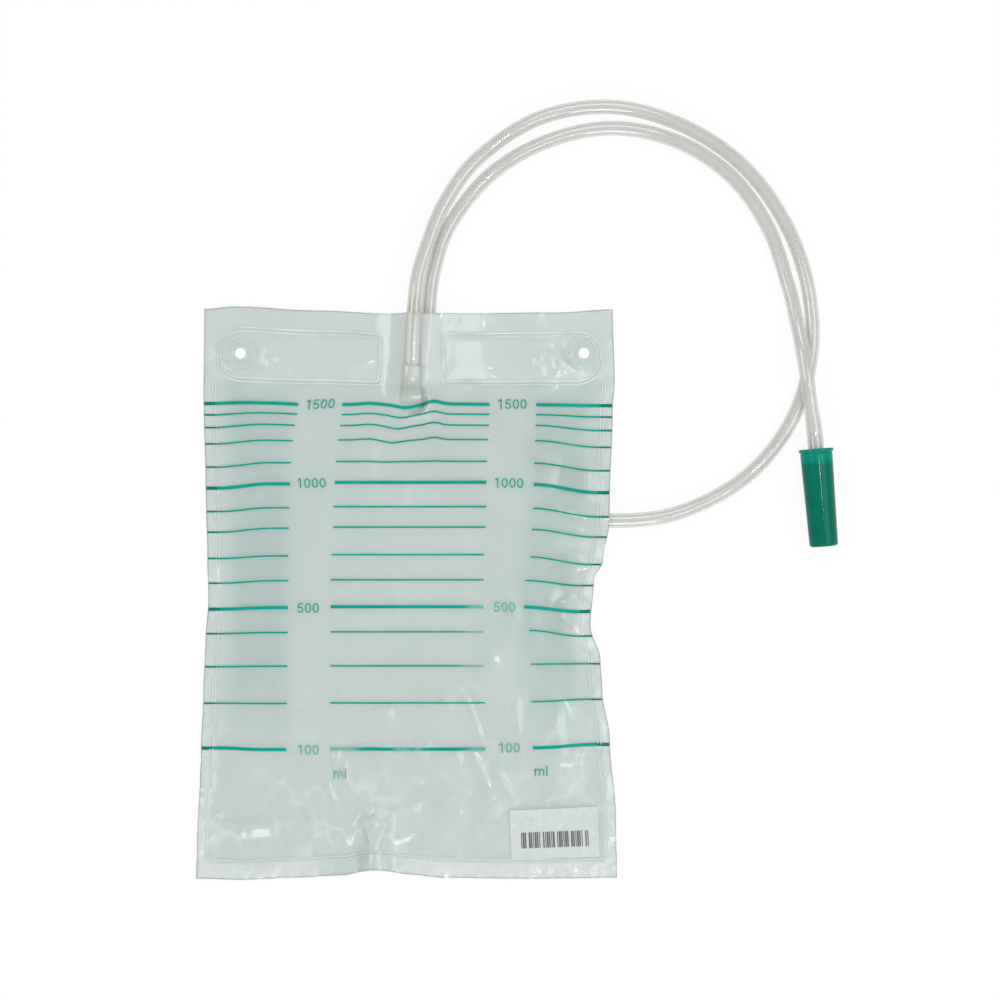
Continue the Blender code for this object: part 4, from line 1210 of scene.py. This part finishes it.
def rounded_outline(left, right, bottom, top, left_round, right_round):
    """Points round a rectangle with its own corner radius at each end."""
    points = []
    corners = ((right - right_round, top - right_round, right_round, 0.0),
               (left + left_round, top - left_round, left_round, 90.0),
               (left + left_round, bottom + left_round, left_round, 180.0),
               (right - right_round, bottom + right_round, right_round, 270.0))
    for centre_x, centre_y, radius, first in corners:
        points += arc((centre_x, centre_y), radius, radius, first, first + 90.0, CORNER_STEPS)
    return points


def laid_line(points, closed, spacing=0.0015):
    """A line of the flat sheet, cut into short runs and moved to where it lies."""
    if closed:
        points = points + [points[0]]
    fine = []
    for a, b in zip(points, points[1:]):
        steps = max(1, int(math.dist(a, b) / spacing))
        for step in range(steps):
            t = step / steps
            fine.append((a[0] + (b[0] - a[0]) * t, a[1] + (b[1] - a[1]) * t))
    if not closed:
        fine.append(points[-1])
    flat = np.array(fine)
    x, y = laid_place(flat[:, 0], flat[:, 1])
    return list(zip(x, y))


film_tree = BVHTree.FromObject(front_film, bpy.context.evaluated_depsgraph_get())
ABOVE_ALL = 0.05
DOWN = Vector((0.0, 0.0, -1.0))


def top_at(tree, x, y):
    """Height of the topmost surface at a place, or of the nearest one beside it."""
    hit = tree.ray_cast(Vector((x, y, ABOVE_ALL)), DOWN)[0]
    if hit is None:
        hit = tree.find_nearest(Vector((x, y, MIDDLE_HEIGHT)))[0]
    return hit.z


def drape(piece, tree, lift, flatten=1.0):
    """Set a flat piece down on a surface, a little above it."""
    for vertex in piece.data.vertices:
        height = top_at(tree, vertex.co.x, vertex.co.y)
        vertex.co.z = height + lift + vertex.co.z * flatten
    piece.data.update()


def bead(points, closed):
    """One pressed line as a flattened bead."""
    line = bpy.data.curves.new("bead", "CURVE")
    line.dimensions = "3D"
    line.bevel_depth = BEAD_RADIUS
    line.bevel_resolution = 1
    run = line.splines.new("POLY")
    run.points.add(len(points) - 1)
    for point, (x, y) in zip(run.points, points):
        point.co = (x, y, 0.0, 1.0)
    run.use_cyclic_u = closed
    line.use_fill_caps = not closed
    made = bpy.data.objects.new("bead", line)
    scene.collection.objects.link(made)
    return made


def join_pieces(pieces, name):
    """Make every piece a mesh and join them into one."""
    bpy.ops.object.select_all(action="DESELECT")
    for piece in pieces:
        piece.select_set(True)
    bpy.context.view_layer.objects.active = pieces[0]
    bpy.ops.object.convert(target="MESH")
    if len(pieces) > 1:
        bpy.ops.object.join()
    joined = bpy.context.object
    joined.name = name
    return joined


beads = []
for pocket, rounds in ((LEFT_POCKET, (HOLE_END_ROUND, TUBE_END_ROUND)),
                       (RIGHT_POCKET, (TUBE_END_ROUND, HOLE_END_ROUND))):
    for out in (-CONTOUR_OFFSET, CONTOUR_OFFSET):
        outline = rounded_outline(pocket[0] - out, pocket[1] + out, POCKET_BOTTOM - out,
                                  POCKET_TOP + out, rounds[0] + out, rounds[1] + out)
        beads.append(bead(laid_line(outline, True), True))
for hole in HOLES:
    for radius in RING_RADII:
        ring = arc(hole, radius, radius, 0.0, 360.0, RING_STEPS)
        beads.append(bead(ring[:-1], True))
seam_x = BAG_WIDTH / 2 - SIDE_SEAM
seam_y = -BAG_HEIGHT / 2 + BOTTOM_SEAM
for side in (-1.0, 1.0):
    for line_x in (seam_x, seam_x + SEAM_LINE_STEP):
        ends = [(side * line_x, seam_y), (side * line_x, SEAM_LINE_TOP)]
        beads.append(bead(laid_line(ends, False), False))
for line_y in (seam_y, seam_y - SEAM_LINE_STEP):
    beads.append(bead(laid_line([(-seam_x, line_y), (seam_x, line_y)], False), False))
weld_lines = join_pieces(beads, "weld_lines")
drape(weld_lines, film_tree, 0.0, BEAD_HEIGHT / BEAD_RADIUS)
bpy.ops.object.shade_smooth_by_angle(angle=math.radians(80))
# Painted highlight: the beads are tinted near white in patches, most on the long top and bottom
# lines of the pockets, where they catch the light
line_y = np.array([vertex.co.y for vertex in weld_lines.data.vertices])
to_line = np.minimum(np.abs(line_y - POCKET_TOP), np.abs(line_y - POCKET_BOTTOM) + LOWER_LINE_LESS)
on_long_line = np.clip(2.0 * (1.0 - to_line / LONG_LINE_REACH), 0.0, 1.0)
give_values(weld_lines, "bead_sheen", FAINT_LINE + (1.0 - FAINT_LINE) * on_long_line)

weld_finish, nodes, links, shader = fresh_material("bead_sheen_film")
shader.inputs["Specular IOR Level"].default_value = 0.25
# Painted highlight: a patchy near-white tint over the beads
patchy = object_noise(nodes, links, 60.0, 3.0)
sheen_share = scaled(nodes, links, patchy, *WELD_SHEEN_PATCHES)
sheen_share = math_node(nodes, links, "MULTIPLY", sheen_share, stored_values(nodes, "bead_sheen"))
links.new(two_tints(nodes, links, sheen_share, *WELD_SHEEN_TINTS), shader.inputs["Base Color"])
links.new(scaled(nodes, links, patchy, *WELD_ROUGHNESS), shader.inputs["Roughness"])
dress(weld_lines, weld_finish)
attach(weld_lines, "bag")

# Graduation print.
# The volume scale, screen-printed in teal ink on the front film: three blocks of lines, thick
# at the numbered volumes, which run out to the bag's edges, and plain numbers between them.

# Each line: half its width, then its height at the left edge, the left block's inner end, the
# middle block, the right block's inner end and the right edge, all in millimetres.
THICK, THIN = 0.78, 0.40
GRADUATIONS = (
    (THICK, 88.1, 87.7, 87.6, 87.5, 87.1),
    (THIN, 82.8, 83.1, 82.9, 82.9, 81.8),
    (THIN, 76.9, 77.9, 77.8, 77.9, 75.5),
    (THIN, 69.3, 70.7, 71.1, 70.8, 67.7),
    (THIN, 58.5, 60.5, 61.1, 60.3, 56.8),
    (THICK, 48.7, 50.7, 51.4, 50.4, 46.6),
    (THIN, 37.8, 39.6, 40.1, 39.3, 35.4),
    (THIN, 28.2, 30.1, 30.6, 29.6, 26.0),
    (THIN, 16.0, 17.2, 17.8, 16.7, 13.2),
    (THIN, 4.5, 5.7, 6.1, 5.8, 3.5),
    (THICK, -7.6, -6.8, -6.4, -6.6, -8.5),
    (THIN, -19.0, -18.4, -18.1, -17.4, -20.0),
    (THIN, -34.4, -34.1, -33.9, -33.1, -33.0),
    (THIN, -51.3, -51.4, -51.1, -50.5, -49.5),
    (THICK, -72.1, -72.7, -72.5, -71.9, -70.4),
)
# Ends of the blocks at heights up the bag, in metres
LEFT_BLOCK_END = ((-0.0727, -0.0558), (0.0172, -0.0550), (0.0507, -0.0542), (0.0708, -0.0530),
                  (0.0877, -0.0504))
MIDDLE_START = ((-0.0725, -0.0354), (0.0061, -0.0353), (0.0401, -0.0341), (0.0611, -0.0329),
                (0.0876, -0.0300))
MIDDLE_END = ((-0.0725, 0.0367), (-0.0181, 0.0356), (0.0061, 0.0358), (0.0514, 0.0372),
              (0.0876, 0.0386))
RIGHT_START = ((-0.0719, 0.0587), (-0.0331, 0.0578), (-0.0174, 0.0572), (-0.0066, 0.0547),
               (0.0058, 0.0552), (0.0167, 0.0576), (0.0504, 0.0591), (0.0875, 0.0603))
# Numbers and the unit: place of the middle in metres, turn in degrees and slant
NUMBERS = (
    ("1500", -0.0402, 0.0878, 3.0, 0.20),
    ("1500", 0.0490, 0.0878, 0.0, 0.0),
    ("1000", -0.0444, 0.0511, 1.0, 0.0),
    ("1000", 0.0474, 0.0511, -1.0, 0.0),
    ("500", -0.0458, -0.0070, 0.0, 0.0),
    ("500", 0.0455, -0.0065, 0.0, 0.0),
    ("100", -0.0458, -0.0729, 0.0, 0.0),
    ("100", 0.0476, -0.0720, 1.0, 0.0),
    ("ml", -0.0309, -0.0838, 0.0, 0.0),
    ("ml", 0.0625, -0.0826, 1.0, 0.0),
)
NUMBER_HEIGHT = 0.0046
PRINT_LIFT = 0.00004
INK_THICKNESS = 0.00002
TO_EDGE = 0.0003
SEAM_KINK = 0.0240
LEFT_BOW = 0.7
BOW_FOOT = 55.0
BOW_FADE = 30.0
PRINT_CELL = 0.0006
LINE_STEP = 0.0012
INK_SEAM_FADE = 0.0012
# Waves of the upper lines over the valve: place in metres, height in millimetres, reach in
# metres, and how far the place moves to the left for each metre down from the top line
VALVE_WAVES = (
    (0.0128, 1.30, 0.0042, 0.0),
    (-0.0175, 0.60, 0.0050, 0.0),
    (-0.0006, -1.50, 0.0060, 0.35),
)
TOP_LINE_Y = 0.0876
WAVE_FOOT = 0.056
WAVE_FADE = 0.020
# Places where a painted highlight washes the ink out, as glare on the glossy film over it: x, y and
# reach in millimetres, and how far
INK_GLARE_PLACES = (
    (-30.0, -72.5, 7.0, 0.35),
    (-2.0, -72.5, 4.0, 0.22),
    (5.5, -72.5, 2.0, 0.25),
    (34.0, -72.5, 6.0, 0.22),
    (33.5, -6.4, 5.0, 0.30),
    (33.0, -18.1, 6.0, 0.25),
    (32.0, -34.0, 7.0, 0.30),
    (46.0, -6.5, 7.0, 0.28),
    (47.5, -72.0, 8.0, 0.20),
    (-46.0, -73.0, 6.0, 0.22),
    (-30.5, -83.6, 4.0, 0.35),
)
INK_TINTS = ((0.000, 0.280, 0.205), (0.000, 0.350, 0.272))
SEAM_INK_TINT = (0.000, 0.175, 0.115)
INK_GLARE_TINT = (0.50, 0.66, 0.61)
INK_TONES = (-0.5, 1.5)
INK_GLARE_SPECKS = (0.6, 1.3)
INK_ROUGHNESS = (0.25, 0.45)


def valve_wave(x, y):
    """How far the upper lines dip and rise where the film drapes over the valve's tip."""
    total = 0.0
    for place, height, reach, lean in VALVE_WAVES:
        crest = place - lean * (TOP_LINE_Y - y)
        total += height * math.exp(-((x - crest) / reach) ** 2)
    return float(eased((y - WAVE_FOOT) / WAVE_FADE)) * total * MM


def point_along(path, lengths, place):
    """The point at a distance along a path."""
    return np.array([np.interp(place, lengths, path[:, axis]) for axis in (0, 1)])


def printed_stroke(points, weight):
    """One printed stroke along points in metres, as a narrow strip of small cells."""
    path = np.array(points)
    runs = np.hypot(*(path[1:] - path[:-1]).T)
    lengths = np.concatenate(((0.0,), np.cumsum(runs)))
    whole = lengths[-1]
    cells = max(2, int(whole / PRINT_CELL))
    bpy.ops.mesh.primitive_grid_add(x_subdivisions=cells, y_subdivisions=2, size=1.0)
    strip = bpy.context.object
    step = whole / cells * 0.5
    for vertex in strip.data.vertices:
        place = (vertex.co.x + 0.5) * whole
        x, y = point_along(path, lengths, place)
        run_x, run_y = (point_along(path, lengths, min(place + step, whole))
                        - point_along(path, lengths, max(place - step, 0.0)))
        across = vertex.co.y * weight / math.hypot(run_x, run_y)
        vertex.co = (x - run_y * across, y + run_x * across, 0.0)
    return strip


# Plain figures, one figure's height high: how far each moves the next one on, and its strokes
ARCH = [(0.20, 0.50), (0.25, 0.60), (0.37, 0.663), (0.50, 0.63), (0.575, 0.52), (0.58, 0.40),
        (0.58, 0.0)]
FIGURES = {
    "0": (0.776, [arc((0.388, 0.5), 0.257, 0.437, 90, 450, 16)]),
    "1": (0.776, [[(0.465, 0.0), (0.465, 1.0)], [(0.18, 0.77), (0.32, 0.85), (0.42, 0.96)]]),
    "5": (0.776, [[(0.645, 0.937), (0.235, 0.937), (0.165, 0.49)],
                  arc((0.375, 0.325), 0.257, 0.262, 147, -160, 16)]),
    "m": (1.163, [[(0.155, 0.0), (0.155, 0.725)], ARCH, [(x + 0.425, y) for x, y in ARCH]]),
    "l": (0.310, [[(0.155, 0.0), (0.155, 1.0)]]),
}
FIGURE_WEIGHT = 0.128


def printed_number(body, x, y, turn, slant):
    """The strokes of a number or unit, centred on its place."""
    width = sum(FIGURES[figure][0] for figure in body)
    rotation = Matrix.Rotation(math.radians(turn), 2)
    strokes = []
    across = -width / 2
    for figure in body:
        advance, paths = FIGURES[figure]
        for points in paths:
            placed = []
            for px, py in points:
                flat = Vector((across + px + slant * (py - 0.5), py - 0.5)) * NUMBER_HEIGHT
                placed.append((rotation @ flat + Vector((x, y)))[:])
            strokes.append(printed_stroke(placed, FIGURE_WEIGHT * NUMBER_HEIGHT))
        across += advance
    return strokes


def value_at(table, place):
    """One value of a given table."""
    return float(along_table(table, np.array(place)))


def line_places(start, end):
    """Places at even steps along a printed line."""
    steps = int((end - start) / LINE_STEP)
    return [start + (end - start) * step / steps for step in range(steps + 1)]


def left_line(at_edge, inner):
    """Points of a left block's line: from the bag's edge, kinked past the seam, a little bowed."""
    start = -BAG_WIDTH / 2 + value_at(LEFT_EDGE, at_edge * MM) + TO_EDGE
    end = value_at(LEFT_BLOCK_END, inner * MM)
    seam = start + SIDE_SEAM
    bow = LEFT_BOW * float(eased((inner - BOW_FOOT) / BOW_FADE))
    points = []
    for x in line_places(start, end):
        drop = 1.0 - float(eased((x - seam) / SEAM_KINK))
        along = max(0.0, (x - seam) / (end - seam))
        height = inner + bow * math.sin(math.pi * along) + (at_edge - inner) * drop
        points.append((x, height * MM))
    return points


def middle_line(height):
    """Points of a middle block's line, waved where the film drapes over the valve."""
    y = height * MM
    places = line_places(value_at(MIDDLE_START, y), value_at(MIDDLE_END, y))
    return [(x, y + valve_wave(x, y)) for x in places]


def right_line(inner, at_edge):
    """Points of a right block's line: from its inner end to the bag's edge."""
    start = value_at(RIGHT_START, inner * MM)
    end = BAG_WIDTH / 2 - value_at(RIGHT_EDGE, at_edge * MM) - TO_EDGE
    seam = end - SIDE_SEAM
    points = []
    for x in line_places(start, end):
        drop = float(eased((x - start) / (seam - start)))
        points.append((x, (inner + (at_edge - inner) * drop) * MM))
    return points


print_pieces = []
for half_width, at_left, left_inner, middle, right_inner, at_right in GRADUATIONS:
    for line in (left_line(at_left, left_inner), middle_line(middle),
                 right_line(right_inner, at_right)):
        print_pieces.append(printed_stroke(line, 2 * half_width * MM))
for number in NUMBERS:
    print_pieces += printed_number(*number)
scale_print = join_pieces(print_pieces, "scale_print")
drape(scale_print, film_tree, PRINT_LIFT)
give_wall(scale_print, "ink", INK_THICKNESS, 1.0)
bpy.ops.object.shade_smooth_by_angle(angle=math.radians(40))

places = np.array([tuple(vertex.co) for vertex in scale_print.data.vertices])
x, y = places[:, 0], places[:, 1]
# Painted highlight: how much glare washes the ink out at each point
glare_share = np.zeros(x.shape)
for glare_x, glare_y, reach, amount in INK_GLARE_PLACES:
    away = np.hypot(x - glare_x * MM, y - glare_y * MM) / (reach * MM)
    glare_share = np.maximum(glare_share, amount * np.exp(-away ** 4))
give_values(scale_print, "ink_glare", glare_share)
past_seam = SIDE_SEAM + INK_SEAM_FADE / 2 - side_inside(x, y)
give_values(scale_print, "on_seam", eased(past_seam / INK_SEAM_FADE))

ink_finish, nodes, links, shader = fresh_material("teal_ink", 1.48)
shader.inputs["Specular IOR Level"].default_value = 0.12
speck = object_noise(nodes, links, 900.0, 3.0)
tone = scaled(nodes, links, object_noise(nodes, links, 45.0, 2.0), *INK_TONES)
tint = two_tints(nodes, links, tone, *INK_TINTS)
tint = two_tints(nodes, links, stored_values(nodes, "on_seam"), tint, SEAM_INK_TINT)
# Painted highlight: the ink turns paler where glare lies over it
glare_wash = math_node(nodes, links, "MULTIPLY", stored_values(nodes, "ink_glare"),
                scaled(nodes, links, speck, *INK_GLARE_SPECKS))
links.new(two_tints(nodes, links, glare_wash, tint, INK_GLARE_TINT), shader.inputs["Base Color"])
links.new(scaled(nodes, links, speck, *INK_ROUGHNESS), shader.inputs["Roughness"])
dress(scale_print, ink_finish)
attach(scale_print, "bag")

# Label.
# A small matt sticker of half-clear film at the lower right of the front. It has no text, only
# one block of plain printed bars.

LABEL_WIDTH = 0.0410
LABEL_HEIGHT = 0.0232
LABEL_WALL = 0.00015
LABEL_PLACE = Vector((0.0688, -0.1118, 0.0))
LABEL_TURN = math.radians(2.6)
LABEL_LIFT = 0.00010
LABEL_CORNER = 0.0008
LABEL_COLUMNS, LABEL_ROWS = 82, 46
LABEL_TINTS = ((0.69, 0.75, 0.73), (0.76, 0.82, 0.80))
LABEL_ROUGHNESS = (0.40, 0.60)
LABEL_ALPHA = (0.55, 0.70)
BAR_COUNT = 34
BAR_GAP_EVERY = 7
BAR_THINNEST = 0.45
BAR_THICKER = 0.22
BAR_BLOCK = 0.0318
BAR_HEIGHT = 0.0074
BAR_BLOCK_PLACE = (0.0000, -0.0027)
BAR_TINTS = ((0.045, 0.055, 0.050), (0.130, 0.150, 0.140))
BAR_ROUGHNESS = (0.45, 0.60)

label_turn = Matrix.Translation(LABEL_PLACE) @ Matrix.Rotation(LABEL_TURN, 4, "Z")
bpy.ops.mesh.primitive_grid_add(x_subdivisions=LABEL_COLUMNS, y_subdivisions=LABEL_ROWS, size=1.0)
label = bpy.context.object
label.name = "sticker"
for vertex in label.data.vertices:
    x, y = vertex.co.x * LABEL_WIDTH, vertex.co.y * LABEL_HEIGHT
    over_x = max(abs(x) - (LABEL_WIDTH / 2 - LABEL_CORNER), 0.0)
    over_y = max(abs(y) - (LABEL_HEIGHT / 2 - LABEL_CORNER), 0.0)
    out = math.hypot(over_x, over_y)
    if out > LABEL_CORNER:
        x -= math.copysign(over_x * (1 - LABEL_CORNER / out), x)
        y -= math.copysign(over_y * (1 - LABEL_CORNER / out), y)
    vertex.co = label_turn @ Vector((x, y, 0.0))
drape(label, film_tree, LABEL_LIFT)
give_wall(label, "backing", LABEL_WALL, 1.0)
bpy.ops.object.shade_smooth_by_angle(angle=math.radians(50))
dress(label, plain_finish("sticker_film", 1.45, (320.0, 4.0), LABEL_TINTS, LABEL_ROUGHNESS,
                          LABEL_ALPHA))
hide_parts("label")
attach(label, "bag")

label_tree = BVHTree.FromObject(label, bpy.context.evaluated_depsgraph_get())
bar_pieces = []
pitch = BAR_BLOCK / BAR_COUNT
for number in range(BAR_COUNT):
    if number % BAR_GAP_EVERY == BAR_GAP_EVERY // 2:
        continue
    wide = pitch * (BAR_THINNEST + BAR_THICKER * ((number * 5) % 3))
    bpy.ops.mesh.primitive_grid_add(x_subdivisions=1, y_subdivisions=12, size=1.0)
    bar = bpy.context.object
    for vertex in bar.data.vertices:
        x = BAR_BLOCK_PLACE[0] - BAR_BLOCK / 2 + (number + 0.5) * pitch + vertex.co.x * wide
        y = BAR_BLOCK_PLACE[1] + vertex.co.y * BAR_HEIGHT
        vertex.co = label_turn @ Vector((x, y, 0.0))
    bar_pieces.append(bar)
bars = join_pieces(bar_pieces, "label_bars")
drape(bars, label_tree, PRINT_LIFT)
give_wall(bars, "ink", INK_THICKNESS, 1.0)
dress(bars, plain_finish("bar_ink", 1.5, (1500.0, 3.0), BAR_TINTS, BAR_ROUGHNESS))
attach(bars, "bag")
